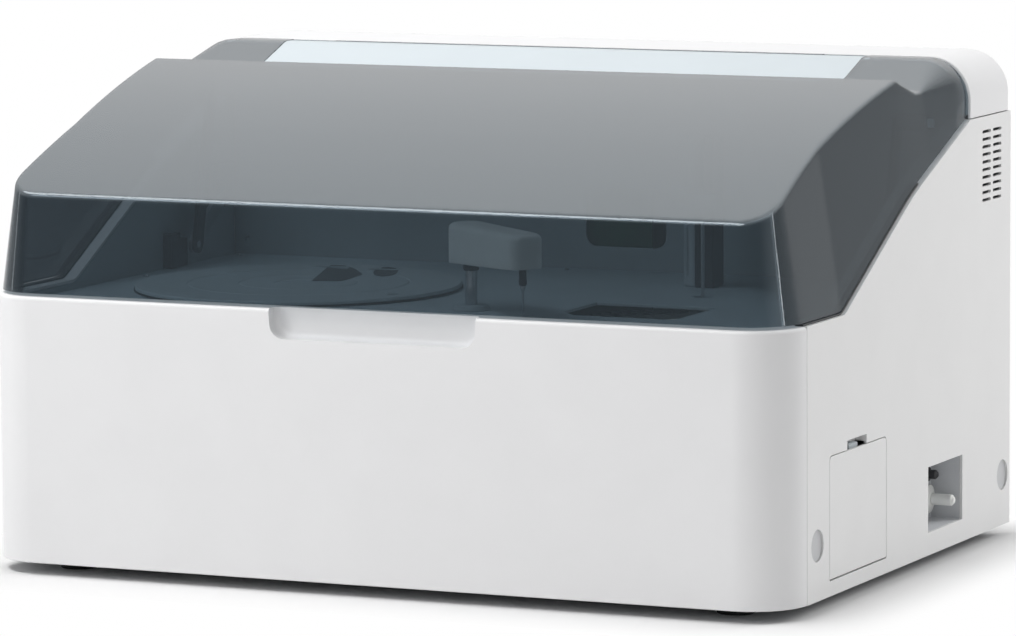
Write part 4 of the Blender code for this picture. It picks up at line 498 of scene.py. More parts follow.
# %% [markdown]
# ## The casing's plan and its main sizes
# The front cover wraps round the two front corners with one radius. The side panels start
# where it ends, and their top edge rises along the lid's lower edge to the roof.
# %% Sizes read from the frame
low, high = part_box("front_cover")
half_width = high[0]
front_y = low[1]
cover_foot = low[2]
rim_height = high[2]
half_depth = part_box("rear_panel")[1][1]
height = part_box("roof_cover")[1][2]
roof_front_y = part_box("roof_cover")[0][1]
corner_radius = 0.055
front_seam_y = front_y + corner_radius
rim_width = 0.025
casing_wall = 0.003
deck_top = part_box("work_deck")[1][2]
shoulder_height = 0.437
shoulder_radius = 0.043
slope_foot = (-0.155, rim_height)
slope_bend = (0.030, 0.3755)
panel_line = rounded([(front_seam_y, rim_height), (*slope_foot, 0.018), (*slope_bend, 0.400),
                      (roof_front_y, shoulder_height)], closed=False, step_deg=2.5)
print("casing", round(2 * half_width, 3), round(half_depth - front_y, 3), round(height, 3))

# %% [markdown]
# ## The front cover
# A single thick moulding: a tall face, two round corners, and a rim that turns in over the
# deck. It is skinned from a plan outline and an upright profile, given its wall by Solidify,
# and the finger recess is cut out of a pocket that was joined on behind the face.
# %% Skin the front cover


def u_plan(inset, back):
    span = half_width - inset
    radius = corner_radius - inset
    return rounded([(-span, back), (-span, front_y + inset, radius),
                    (span, front_y + inset, radius), (span, back)], closed=False)


def casing_profile():
    """(inset, height) up the face, over the rounded edge and in along the rim."""
    foot_edge = 0.0015
    top_edge = 0.0042
    points = [(foot_edge, cover_foot)]
    points += arc((foot_edge, cover_foot + foot_edge), foot_edge, pi * 1.5, -pi / 2, 30.0)[1:]
    points += arc((top_edge, rim_height - top_edge), top_edge, pi, -pi / 2, 12.0)
    points += [(rim_width, rim_height), (rim_width, rim_height - 0.016)]
    return points


def front_cover_piece():
    rows = []
    outer = u_plan(0.0, front_seam_y)
    inner = u_plan(rim_width, front_seam_y)
    for (x0, y0), (x1, y1) in zip(outer, inner):
        rows.append([(x0 + (x1 - x0) * inset / rim_width, y0 + (y1 - y0) * inset / rim_width, level)
                     for inset, level in casing_profile()])
    made = skin("front_cover_moulding", rows, casing_white)
    middle_face = made.data.polygons[len(made.data.polygons) // 2]
    if middle_face.normal.y > 0:
        made.data.flip_normals()
    wall_sheet(made, casing_wall)
    pocket = recess_tool("pocket", 0.002, 0.018, 0.009)
    cut(pocket, block("above", (-0.2, front_y - 0.02, rim_height - 0.0015),
                      (0.2, front_y + 0.05, 0.32), casing_white),
        block("ahead", (-0.2, front_y - 0.02, 0.2), (0.2, front_y + 0.0015, 0.32), casing_white))
    join(made, pocket)
    cut(made, recess_tool("hollow", 0.0, 0.016, 0.007))
    return smoothed(made)


def recess_tool(name, margin, reach, edge):
    """The scoop under the lid's edge, with its far edges rounded off."""
    top_left, top_right, low_left, low_right, base = -0.1100, 0.1127, -0.1075, 0.1105, 0.2485
    top = rim_height + 0.012
    outline = rounded([(top_left - margin, top), (low_left - margin, base - margin, 0.015 + margin),
                       (low_right + margin, base - margin, 0.015 + margin),
                       (top_right + margin, top)], step_deg=7.5)
    made = slab(name, outline, front_y - 0.012, front_y + reach, "XZ", casing_white)
    soften(made, edge, 5, 60.0)
    return settle(made)


front_cover = front_cover_piece()
soften(front_cover, 0.0011, 3, 50.0)
stand_for(front_cover, "front_cover")
print("front cover faces", len(front_cover.data.polygons))

# %% [markdown]
# ## The seal on the rim
# The lid comes down on a flat foam strip along each side's rim. It is one rectangular
# section carried along the panel's top line, so a skin through rows of four points makes it.
# %% Skin the side seals
seal_section = ((0.4265, 0.0001), (0.4265, 0.0017), (0.4175, 0.0017), (0.4175, 0.0001))
for side in (-1, 1):
    rows = []
    for y, z in panel_line[:-1]:
        rows.append([(side * x, y + (0.001 if y == front_seam_y else 0), z + lift)
                     for x, lift in seal_section])
    seal = skin("rim_seal_" + ("right" if side > 0 else "left"), rows, charcoal, closed=True, ends=True)
    soften(seal, 0.0004, 2)
    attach(seal, "housing")

# %% [markdown]
# ## The side, rear and inner walls
# The side panels and walls keep the CAD's shape. They only need soft edges: the outer edge of
# a side panel shows in the light as a thin bright line.
# %% Dress the panels
dressed("left_side_panel", panel_white, 0.0010, segments=2, merge=False)
dressed("right_side_panel", panel_white, 0.0008, segments=2, merge=False)
dressed("rear_panel", panel_white, 0.0005)
dressed("left_inner_wall", wall_grey, 0.0004)
dressed("right_inner_wall", wall_grey, 0.0004)
dressed("back_wall", wall_grey, 0.0004)
dressed("work_deck", deck_blue_grey, 0.0006)
dressed("base_chassis", grey_coat, 0.0004)
dressed("side_door", panel_white, 0.0008, segments=3)
dressed("door_catch", wall_grey, 0.0004)
dressed("connection_bay", bay_grey, 0.0006)

# %% [markdown]
# The lid's lock is a black block on the left wall, with its latch slot at the top and a lower
# cover behind it.
# %% Model the lock
(lock_x, _, lock_foot), (_, lock_rear_y, _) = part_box("lid_lock")
lock = block("lock_block", (lock_x, 0.0335, lock_foot), (lock_x + 0.011, lock_rear_y, 0.3050),
             black_moulding, 0.0016, 4)
cut(lock, block("slot", (lock_x + 0.003, 0.0380, 0.2960), (lock_x + 0.007, 0.0430, 0.3070),
                charcoal))
join(lock, block("cover", (lock_x, 0.0450, lock_foot), (lock_x + 0.009, 0.0740, 0.2985),
                 black_moulding, 0.0020, 4),
     block("lug", (lock_x, 0.0540, 0.2970), (lock_x + 0.006, 0.0630, 0.3040),
           black_moulding, 0.0010, 3))
stand_for(lock, "lid_lock")

# %% [markdown]
# ## The roof
# The white rear cover is an arch with round shoulders, closed at the back by a rounded edge.
# Rows of the arch are skinned from front to rear, each one a little smaller round the edge.
# %% Skin the roof


def arch(inset, foot):
    span = half_width - inset
    radius = shoulder_radius - inset
    return rounded([(-span, foot), (-span, height - inset, radius),
                    (span, height - inset, radius), (span, foot)], closed=False, step_deg=5.0)


def roof_piece():
    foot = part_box("roof_cover")[0][2]
    edge = 0.010
    rows = [[(x, roof_front_y, z) for x, z in arch(0.0, foot)]]
    for step in range(9):
        turn = pi / 2 * step / 8
        y = half_depth - edge * (1 - sin(turn))
        rows.append([(x, y, z) for x, z in arch(edge * (1 - cos(turn)), foot)])
    size = len(rows[0])
    points = [point for row in rows for point in row]
    faces = grid_faces(len(rows), size)
    faces.append(tuple(range((len(rows) - 1) * size, len(rows) * size)))
    made = put("roof_moulding", mesh_of("roof_moulding", points, faces), casing_white)
    return soften(smoothed(wall_sheet(facing_up(made), casing_wall)), 0.0008, 2, 60.0)


stand_for(roof_piece(), "roof_cover")

# %% [markdown]
# ## The lid
# One thin smoke moulding: a leaning front, drafted side walls, a crowned top that falls into a
# valley, and a crest that meets the roof. Each upright row starts at the lower edge, climbs
# the wall, goes round the crease, and the rows of the two halves meet in the middle.
# %% The lid's top line and lower edge
front_crease = (-0.2972, 0.378)
ridge = (0.031, 0.488)
lid_crown = 0.011
valley_y = (0.074, 0.088)
valley_height = 0.4725
crest_y = 0.163
lid_rear_y = roof_front_y - 0.004
lid_gap = 0.003
side_gap = 0.004
flare_start_y = 0.092


def lid_top_line():
    """(y, z) along the middle of the lid, from the front crease to the roof."""
    chord = hypot(ridge[0] - front_crease[0], ridge[1] - front_crease[1])
    radius = (chord ** 2 / 4 + lid_crown ** 2) / (2 * lid_crown)
    lean = atan2(ridge[1] - front_crease[1], ridge[0] - front_crease[0])
    half_sweep = atan2(chord / 2, radius - lid_crown)
    middle = ((front_crease[0] + ridge[0]) / 2, (front_crease[1] + ridge[1]) / 2)
    centre = (middle[0] + sin(lean) * (radius - lid_crown),
              middle[1] - cos(lean) * (radius - lid_crown))
    crown = arc(centre, radius, pi / 2 + lean + half_sweep, -2 * half_sweep, 0.75)
    tail = rounded([ridge, (valley_y[0], valley_height, 0.016), (valley_y[1], valley_height, 0.016),
                    (crest_y, height, 0.030), (lid_rear_y, height)], closed=False, step_deg=4.0)
    return crown + tail[1:]


top_line = lid_top_line()
edge_line = [(y, z + lid_gap) for y, z in panel_line]


def along(line, y):
    """Height of a (y, z) line at y."""
    if y <= line[0][0]:
        return line[0][1]
    for (y0, z0), (y1, z1) in zip(line, line[1:]):
        if y <= y1:
            return z0 + (z1 - z0) * (y - y0) / (y1 - y0)
    return line[-1][1]


# %% Skin the lid's two halves


def lid_flare(y_base):
    """How far the section has turned from a leaning wall to the roof's round shoulder."""
    flare = max(0.0, (y_base - flare_start_y) / (lid_rear_y - flare_start_y))
    return flare * flare * (3 - 2 * flare)


def lid_lean(y_base, normal):
    """Lean of the wall: least at the front face, most at the front of the sides."""
    near = 1 - min(1.0, max(0.0, (y_base - front_seam_y) / (ridge[0] - front_seam_y)))
    side = 0.133 + 0.017 * near
    return (0.08 + (side - 0.08) * normal.x ** 2) * (1 - lid_flare(y_base))


def lid_row(y_base, normal, centre, steps=8):
    flare = lid_flare(y_base)
    lean = lid_lean(y_base, normal)
    foot = along(edge_line, y_base)
    span = half_width - side_gap

    def wall(level):
        inset = lean * (level - foot)
        if centre:
            reach = corner_radius - side_gap - inset
            return Vector((centre[0] + normal.x * reach, centre[1] + normal.y * reach, level))
        return Vector((span - inset + flare * 0.0005, y_base, level))

    top = front_crease[1]
    for _ in range(8):
        top = along(top_line, wall(top).y)
    radius = 0.0050 + (shoulder_radius - 0.0065) * flare
    middle = wall(top) - normal * radius - Vector((0, 0, radius))
    points = [wall(foot), wall(foot + (top - radius - foot) / 2)]
    for step in range(steps + 1):
        turn = pi / 2 * step / steps
        edge = middle + normal * (radius * cos(turn)) + Vector((0, 0, radius * sin(turn)))
        points.append(edge + Vector((0, 0, (along(top_line, edge.y) - top) * sin(turn))))
    return points


def lid_piece():
    corner = (half_width - corner_radius, front_y + corner_radius + 0.003 - side_gap)
    rows = []
    for step in range(13):
        turn = -pi / 2 + pi / 2 * step / 12
        rows.append(lid_row(front_seam_y, Vector((cos(turn), sin(turn), 0)), corner))
    stations = [y for y, z in edge_line[1:-1]]
    stations += [y for y, z in top_line if y > front_seam_y + 0.004]
    stations += [crest_y + 0.0022 * step for step in range(1, 10)]
    kept = [lid_rear_y]
    for y in sorted(stations, reverse=True):
        if kept[-1] - y > 0.0012:
            kept.append(y)
    for y in kept[::-1]:
        rows.append(lid_row(y, Vector((1, 0, 0)), None))
    rows = [row + [Vector((-p.x, p.y, p.z)) for p in row[::-1]] for row in rows]
    size = len(rows[0])
    points = [point for row in rows for point in row]
    faces = grid_faces(len(rows), size)
    for column in range(size // 2 - 1):
        mirror = size - 1 - column
        faces.append((column + 1, column, mirror, mirror - 1))
    made = put("lid_moulding", mesh_of("lid_moulding", points, faces), smoke)
    return wall_sheet(facing_up(made), casing_wall)


lid = lid_piece()
print("lid points", len(lid.data.vertices))

# %% [markdown]
# ## What is cut into the lid and joined to it
# The pale insert lies in a shallow recess across the valley. Notches let the hinges through,
# and a boss with a pin inside each wall carries the stay.
# %% Recess, notches and bosses
strip_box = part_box("lid_top_strip")
hinge_y, hinge_z, hinge_x = 0.183, 0.494, 0.300
hook = (0.105, 0.440)


def over_valley(name, margin, deep, shallow, material):
    """The layer between two depths under the top surface, above the pale insert."""
    first, last = strip_box[0][1] - margin, strip_box[1][1] + margin
    levels = [first] + [y for y, z in top_line if first < y < last] + [last]
    span = strip_box[1][0] + margin
    under = [(y, along(top_line, y) - deep) for y in levels]
    over = [(y, along(top_line, y) - shallow) for y in levels]
    return slab(name, under + over[::-1], -span, span, "YZ", material)


cut(lid, over_valley("insert_recess", 0.0003, 0.0020, -0.004, smoke))
for side in (-1, 1):
    reach = 0.0256
    cut(lid, block("notch", (side * hinge_x - reach, hinge_y - 0.0043, hinge_z - 0.008),
                   (side * hinge_x + reach, lid_rear_y + 0.002, height + 0.002), smoke))
    lean = lid_lean(hook[0], Vector((1, 0, 0)))
    wall_x = half_width - side_gap - lean * (hook[1] - along(edge_line, hook[0]))
    boss = [(0, 0.3862), (0.008, 0.3862), (0.008, wall_x - 0.0015), (0, wall_x - 0.0015)]
    pin = [(0, 0.3797), (0.0031, 0.3797), (0.0037, 0.3803), (0.0037, 0.3882), (0, 0.3882)]
    for label, profile in (("boss", boss), ("pin", pin)):
        turned = [(radius, side * level) for radius, level in profile]
        join(lid, lathe(label, turned, (0, *hook), smoke, 32, "X"))
smoothed(lid, 28.0)
soften(lid, 0.0005, 2, 50.0)
stand_for(lid, "lid_shell")
insert = over_valley("pale_insert", 0.0, 0.0017, 0.0005, strip_pale)
soften(insert, 0.0003, 2, 50.0)
stand_for(insert, "lid_top_strip")

# %% [markdown]
# ## Hinges, stays and dampers
# Steel leaves carry the lid at the rear, and a jointed stay on each side holds it open. These
# are stamped or turned parts with only a fine edge break.
# %% Dress the lid's hardware
for side in ("left", "right"):
    dressed("lid_hinge_leaf_" + side, spring_steel, 0.0002)
    dressed("body_hinge_leaf_" + side, spring_steel, 0.0002)
    dressed("stay_damper_" + side, black_moulding, 0.0)
    dressed("stay_arm_" + side, spring_steel, 0.0004)
    dressed("stay_link_" + side, black_moulding, 0.0004)

# %% [markdown]
# ## The reagent side
# A round cover lies over the carousel. Its top has shallow rings, so it is turned from a
# profile with fine steps, and the probe's hole and the two grips are cut through it.
# %% Turn the disk cover
reagent = (-0.195, -0.070)
probe_axis = (0.044, -0.170)
station_deg = atan2(probe_axis[1] - reagent[1], probe_axis[0] - reagent[0]) * 180 / pi


def ringed(radii, top, depth, width):
    """Profile points, going outward, of a top with shallow grooves at some radii."""
    points = []
    for radius in radii:
        points += [(radius - width, top), (radius - width / 2, top - depth),
                   (radius + width / 2, top - depth), (radius + width, top)]
    return points


def oval(centre, long_half, short_half, turn_deg, sides):
    """Points round an ellipse whose long half lies at an angle."""
    lie = radians(turn_deg)
    turns = [2 * pi * step / sides for step in range(sides)]
    return [(centre[0] + long_half * cos(t) * cos(lie) - short_half * sin(t) * sin(lie),
             centre[1] + long_half * cos(t) * sin(lie) + short_half * sin(t) * cos(lie))
            for t in turns]


wedge_outline = arc(reagent, 0.150, radians(96.0), radians(18.0), 2.0)
wedge_outline.append(on_circle(reagent, 0.118, 91.0))
lens_outline = oval(on_circle(reagent, 0.140, 77.0), 0.019, 0.0095, 0.0, 40)
cuts = (("wedge", wedge_outline), ("lens", lens_outline))


def disk_cover_piece():
    (x0, y0, base), (x1, y1, top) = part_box("disk_cover")
    radius = (x1 - x0) / 2
    lip = 0.1574
    seat = deck_top + 0.0003
    edge = 0.0015
    profile = [(0, top - 0.0006), (0.024, top - 0.0006), (0.0245, top)]
    profile += ringed((0.060, 0.112), top, 0.0006, 0.0012)
    profile += [(radius - edge, top)]
    profile += arc((radius - edge, top - edge), edge, pi / 2, -pi / 2, 15.0)[1:]
    profile += [(radius, seat + 0.0006), (radius - 0.0006, seat), (lip, seat), (lip, base),
                (lip - 0.003, base), (lip - 0.003, top - 0.003), (0, top - 0.003)]
    made = lathe("disk_cover_moulding", profile, (*reagent, 0), cover_pale, 128)
    station = on_circle(reagent, 0.144, station_deg)
    low, high = base - 0.002, top + 0.002
    cut(made, slab("hole", arc(station, 0.0065, 0, 2 * pi, 10.0)[:-1], low, high, "XY", cover_pale))
    cut(made, *(slab(label, outline, low, high, "XY", cover_pale) for label, outline in cuts))
    return soften(smoothed(made, 30.0), 0.0005, 2, 60.0)


def cover_window(name, outline):
    """A dark glazed panel let into the cover, open where the cover itself is cut through."""
    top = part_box("disk_cover")[1][2]
    made = slab(name, outline, top - 0.0002, top + 0.0005, "XY", window_grey)
    cut(made, *(slab(label, edge, top - 0.01, top + 0.01, "XY", cover_pale) for label, edge in cuts))
    soften(made, 0.0002, 2)
    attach(made, "reagent_lid")


stand_for(disk_cover_piece(), "disk_cover")
long_window = [(-0.1888, -0.0521, 0.003), (-0.1583, -0.0498, 0.010), (-0.1640, 0.0150, 0.030),
               (-0.1930, 0.0560, 0.020), (-0.2160, 0.0800, 0.004), (-0.2330, 0.0780, 0.004)]
cover_window("cover_window_long", rounded(long_window, step_deg=15.0))
cover_window("cover_window_round", oval((-0.1530, 0.0450), 0.041, 0.0125, 112.5, 48))
# A dark ring round the foot of the cover is painted shade: it stands for the thin dark line where the
# cover's edge meets the deck.
cover_side = (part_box("disk_cover")[1][0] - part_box("disk_cover")[0][0]) / 2
cover_shadow_ring_profile = [(cover_side + out, deck_top + rise) for out, rise in
                      ((0.0002, 0.0008), (0.0012, 0.0008), (0.0012, 0.0022), (0.0002, 0.0026))]
cover_seal = lathe("cover_seal", cover_shadow_ring_profile, (*reagent, 0), charcoal, 128)
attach(cover_seal, "reagent_lid")
dressed("reagent_chamber", fitting_white, 0.0)
dressed("reagent_carousel", natural_nylon, 0.0005, 24.0)
dressed("reagent_motor", black_moulding, 0.0)

# %% [markdown]
# ## The reaction side
# The toothed disk turns in its bath. Clear cuvettes stand in its pockets, so a small open box
# is stamped on every pocket by the node tree.
# %% Dress the reaction side and stamp the cuvettes
reaction = (0.228, -0.078)
dressed("reaction_tray", satin_aluminium, 0.0, 24.0)
dressed("reaction_disk", natural_nylon, 0.0003, 24.0)
dressed("reaction_pinion", natural_nylon, 0.0003)
dressed("reaction_motor", black_moulding, 0.0)
dressed("photometer", black_moulding, 0.0006)


def cuvette_shape():
    """An open clear box with a thin wall, its mouth at the origin and its depth down -Z."""
    outer = rectangle(-0.0052, -0.0042, 0.0052, 0.0042)
    inner = rectangle(-0.0046, -0.0036, 0.0046, 0.0036)
    depth, floor = 0.0265, 0.0008
    levels = [(outer, -depth), (outer, 0.0006), (inner, 0.0006), (inner, -depth + floor)]
    rows = [[(x, y, z) for x, y in loop] for loop, z in levels]
    return skin("cuvette_shape", rows, cuvette_clear, closed=True, ends=True)


cuvette = cuvette_shape()
print("cuvette faces", len(cuvette.data.polygons))


def ring_tree():
    """Copies of a shape on a circle, each turned to face outward from its centre."""
    tree, given, place = stamp_nodes("stamp_on_ring", Shape="Object", Count="Int", Radius="Float",
                                     First_Turn="Float", Material="Material")
    line = add_node(tree, "GeometryNodePoints")
    index = add_node(tree, "GeometryNodeInputIndex")
    share = add_node(tree, "ShaderNodeMath", "DIVIDE")
    turn = add_node(tree, "ShaderNodeMath", "MULTIPLY_ADD")
    turn.inputs[1].default_value = 2 * pi
    along_x = add_node(tree, "ShaderNodeMath", "COSINE")
    along_y = add_node(tree, "ShaderNodeMath", "SINE")
    spot = add_node(tree, "ShaderNodeCombineXYZ")
    sized = add_node(tree, "ShaderNodeVectorMath", "SCALE")
    turned = add_node(tree, "ShaderNodeCombineXYZ")
    wire(tree, (given, "Count", line, "Count"), (index, "Index", share, 0),
         (given, "Count", share, 1), (share, "Value", turn, 0), (given, "First Turn", turn, 2),
         (turn, "Value", along_x, 0), (turn, "Value", along_y, 0), (along_x, "Value", spot, "X"),
         (along_y, "Value", spot, "Y"), (spot, "Vector", sized, 0),
         (given, "Radius", sized, "Scale"), (sized, "Vector", line, "Position"),
         (turn, "Value", turned, "Z"), (line, "Points", place, "Points"),
         (turned, "Vector", place, "Rotation"))
    return tree


cuvette_count = 32
grown("cuvettes", bpy.data.meshes.new("cuvettes"), ring_tree(), "reaction_rotor",
      (*reaction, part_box("reaction_disk")[1][2] - 0.003), Shape=cuvette, Count=cuvette_count,
      Radius=0.095, First_Turn=radians(100.0), Material=cuvette_clear)
print("cuvettes", cuvette_count, "copies")

# %% [markdown]
# ## The probe
# The arm is a rounded white housing over the column. The needle leaves it through a small
# steel sleeve, and the column slides in a grey guide.
# %% Model the arm and its neighbours
arm_low, arm_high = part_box("probe_arm")
rest_deg = -39.4
rest = on_circle(probe_axis, 0.115, rest_deg)


def probe_arm_piece():
    half = 0.018
    nose, tail = 0.129, -0.022
    shift = Matrix.Translation((*probe_axis, 0)) @ Matrix.Rotation(radians(rest_deg), 4, "Z")
    rows = []
    crown = 0.0065
    base, top = arm_low[2] + 0.007, arm_high[2] + 0.005
    for step in range(7):
        turn = pi / 2 * step / 6
        inset = crown * (1 - cos(turn))
        level = top - crown + crown * sin(turn)
        radius = 0.012 - inset * 0.6
        rows.append([(x, y, level) for x, y in rectangle(tail + inset, -half + inset, nose - inset,
                                                          half - inset, radius)])
    foot = [(x, y, base + 0.0008 + 0.006 * max(0, x) / nose)
            for x, y in rectangle(tail, -half, nose, half, 0.012)]
    sole = [(x, y, base + 0.006 * max(0, x) / nose)
            for x, y in rectangle(tail + 0.0008, -half + 0.0008, nose - 0.0008, half - 0.0008, 0.0115)]
    made = skin("probe_arm_housing", [sole, foot] + rows, fitting_white, closed=True, ends=True)
    made.data.transform(shift)
    cut(made, lathe("spigot_hole", [(0, 0.300), (0.0043, 0.300), (0.0043, 0.3256), (0, 0.3256)],
                    (*probe_axis, 0), charcoal, 32))
    cut(made, lathe("sleeve_hole", [(0, 0.300), (0.0031, 0.300), (0.0031, 0.3132), (0, 0.3132)],
                    (*rest, 0), charcoal, 24))
    seam = slab("seam", rectangle(tail - 0.01, -half - 0.01, nose + 0.01, half + 0.01), 0.3180, 0.3186,
                "XY", charcoal)
    inner = slab("core", rectangle(tail + 0.0006, -half + 0.0006, nose - 0.0006, half - 0.0006,
                                   0.0115), 0.3170, 0.3196, "XY", charcoal)
    cut(seam, inner)
    seam.data.transform(shift)
    cut(made, seam)
    return smoothed(made, 30.0)


stand_for(probe_arm_piece(), "probe_arm")
dressed("probe_column", bright_steel, 0.0)
dressed("probe_needle", bright_steel, 0.0)
dressed("probe_guide", wall_grey, 0.0005)
dressed("wash_well", charcoal, 0.0004)
dressed("wash_head", satin_aluminium, 0.0004)
mast_collar = [(0.0045, 0.3072), (0.0072, 0.3072), (0.0078, 0.3080), (0.0078, 0.3150), (0.0045, 0.3150)]
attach(lathe("mast_collar", mast_collar, (*probe_axis, 0), charcoal, 48), "probe_head")
needle_knob = [(0.0016, 0.3002), (0.0022, 0.3002), (0.0022, 0.3030), (0.0038, 0.3042), (0.0040, 0.3082),
               (0.0036, 0.3090), (0.0036, 0.3210), (0.0016, 0.3210)]
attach(lathe("needle_knob", needle_knob, (*rest, 0), charcoal, 32), "probe_head")

# %% [markdown]
# The dark tower stands beside a pale rail. In the picture its front is narrower than the block
# in the CAD, because the rail covers its left edge.
# %% Model the tower and its rail
(_, tower_y0, tower_z0), (tower_x1, _, tower_z1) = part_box("wash_tower")
tower_rear_y = 0.1100
tower = block("wash_tower_block", (0.1755, tower_y0, tower_z0), (tower_x1, tower_rear_y, tower_z1),
              charcoal, 0.0012, 3)
cut(tower, block("groove", (0.1846, tower_y0 - 0.001, tower_z0 + 0.006),
                 (0.1868, tower_y0 + 0.0015, tower_z1 + 0.001), charcoal))
stand_for(tower, "wash_tower")
rail = block("wash_tower_cover", (0.1614, tower_y0 + 0.004, tower_z0), (0.1748, tower_rear_y, tower_z1),
             wall_grey, 0.0020, 4)
cut(rail, block("slot", (0.1660, tower_y0 + 0.003, tower_z0 + 0.012),
                (0.1672, tower_y0 + 0.0055, tower_z1 - 0.012), charcoal))
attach(rail, "housing")
stripe = block("wash_tower_scale", (0.1850, tower_y0 + 0.0006, tower_z0 + 0.007),
               (0.1864, tower_y0 + 0.0013, tower_z1 - 0.002), bright_steel, 0.0002)
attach(stripe, "housing")

# %% [markdown]
# ## Behind the side door, in the bay and at the caps
# The syringe sits behind the door. The bay holds the drain with its cap and a plug. Two round
# caps close the fixing holes of the side panel.
# %% Dress and turn the side's small parts
dressed("syringe_block", grey_coat, 0.0005)
dressed("syringe_plunger", bright_steel, 0.0)
dressed("drain_outlet", fitting_white, 0.0004)
dressed("drain_cap", fitting_white, 0.0004)
dressed("sensor_plug", black_moulding, 0.0004)


def cap_piece(node):
    (x0, y0, z0), (x1, y1, z1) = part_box(node)
    radius = (y1 - y0) / 2
    back, dip = x0 - x1, 0.0009
    profile = [(0, -dip)]
    profile += [(radius * share, -dip * (1 - share ** 4)) for share in (0.3, 0.5, 0.7, 0.8, 0.88)]
    profile += [(radius - 0.0006, 0), (radius, -0.0006), (radius, back), (0, back)]
    place = (x1, (y0 + y1) / 2, (z0 + z1) / 2)
    # The dark ring at the back of the gap round the disc is painted shadow: it stands for the dark edge
    # that the recess shows.
    near, far, level = radius - 0.0004, radius + 0.0011, back + 0.0007
    groove = [(near, back), (far, back), (far, level), (near, level)]
    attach(lathe(node + "_seam", groove, place, window_grey, 64, "X"), "housing")
    made = lathe(node + "_disc", profile, place, cap_grey, 64, "X")
    return stand_for(made, node)


cap_piece("front_panel_cap")
cap_piece("rear_panel_cap")

# %% [markdown]
# ## Feet
# Four turned rubber feet with a small step and a slightly hollow sole.
# %% Turn the feet


def foot_piece(node):
    (x0, y0, z0), (x1, y1, z1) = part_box(node)
    radius = (x1 - x0) / 2
    edge = 0.0018
    profile = [(0, z1), (radius * 0.84, z1), (radius * 0.86, z1 * 0.72)]
    profile += arc((radius - edge, z1 * 0.62 - edge), edge, pi / 2, -pi / 2, 18.0)
    profile += arc((radius - edge, edge), edge, 0, -pi / 2, 18.0)
    profile += [(radius * 0.62, 0), (radius * 0.58, 0.0012), (0, 0.0012)]
    made = lathe(node + "_rubber", profile, ((x0 + x1) / 2, (y0 + y1) / 2, 0), foot_rubber, 64)
    return stand_for(made, node)


for corner in ("front_left", "front_right", "rear_left", "rear_right"):
    foot_piece("foot_" + corner)

# %% [markdown]
# ## The rear
# The fan blows out through the slots in the rear panel. Its frame and rotor keep the CAD's shape
# and only get a soft edge.
# %% The fan, the inlet and the electronics
dressed("fan_frame", black_moulding, 0.0004)
dressed("fan_rotor", black_moulding, 0.0003, merge=False)
dressed("power_inlet", black_moulding, 0.0005)
dressed("power_rocker", charcoal, 0.0006, segments=3)
dressed("power_supply", satin_aluminium, 0.0)
board_green = finish("board_green", linear(24, 84, 48), 0.38, grain=260, bump=0.25,
                     spread=0.18, mottle=90.0)
dressed("control_board", board_green, 0.0003)

# %% [markdown]
# ## Screws
# The fixings that a service engineer would see: pan heads with a cross recess, on the deck,
# the back wall and the rear panel.
# %% Make one screw and stamp the rest


def screw_shape():
    """A pan head 1.6 units high on a unit radius of 2.8, with a cross cut in its top."""
    profile = [(0, 0.0016), (0.0012, 0.00155), (0.0021, 0.0012), (0.0027, 0.0006), (0.0028, 0),
               (0.0028, -0.0002), (0, -0.0002)]
    made = lathe("screw_shape", profile, (0, 0, 0), bright_steel, 20)
    for turn in (0.0, pi / 2):
        bar = block("bar", (-0.0016, -0.00035, 0.0009), (0.0016, 0.00035, 0.003), bright_steel)
        bar.data.transform(Matrix.Rotation(turn, 4, "Z"))
        cut(made, bar)
    return made


screw = screw_shape()
deck_screws = [(-0.390, -0.240, deck_top), (-0.390, 0.180, deck_top), (-0.010, 0.180, deck_top),
               (0.390, 0.180, deck_top), (0.390, -0.240, deck_top), (0.010, -0.268, deck_top),
               (-0.390, -0.030, deck_top), (0.390, -0.030, deck_top)]
stamped("deck_screws", screw, deck_screws, (0, 0, 1), bright_steel, "housing")
wall_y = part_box("back_wall")[0][1]
back_screws = [(x, wall_y, z) for x in (-0.39, -0.13, 0.13, 0.39) for z in (0.285, 0.430)]
stamped("back_wall_screws", screw, back_screws, (0, -1, 0), bright_steel, "housing")
rear_screws = [(x, half_depth - 0.0014, z) for x in (-0.412, -0.14, 0.14, 0.412)
               for z in (0.028, 0.230, 0.422)]
stamped("rear_panel_screws", screw, rear_screws, (0, 1, 0), bright_steel, "housing", 0.85)
bpy.data.objects.remove(screw, do_unlink=True)
bpy.data.objects.remove(cuvette, do_unlink=True)

# %% [markdown]
# ## The stage
# A plain pale floor with a white backdrop. Two large soft lamps, from the front left and from
# the rear right, light the machine without showing in it. Three bars, above and at each side,
# are the ones that the smoke lid mirrors.
# %% Floor, backdrop and light


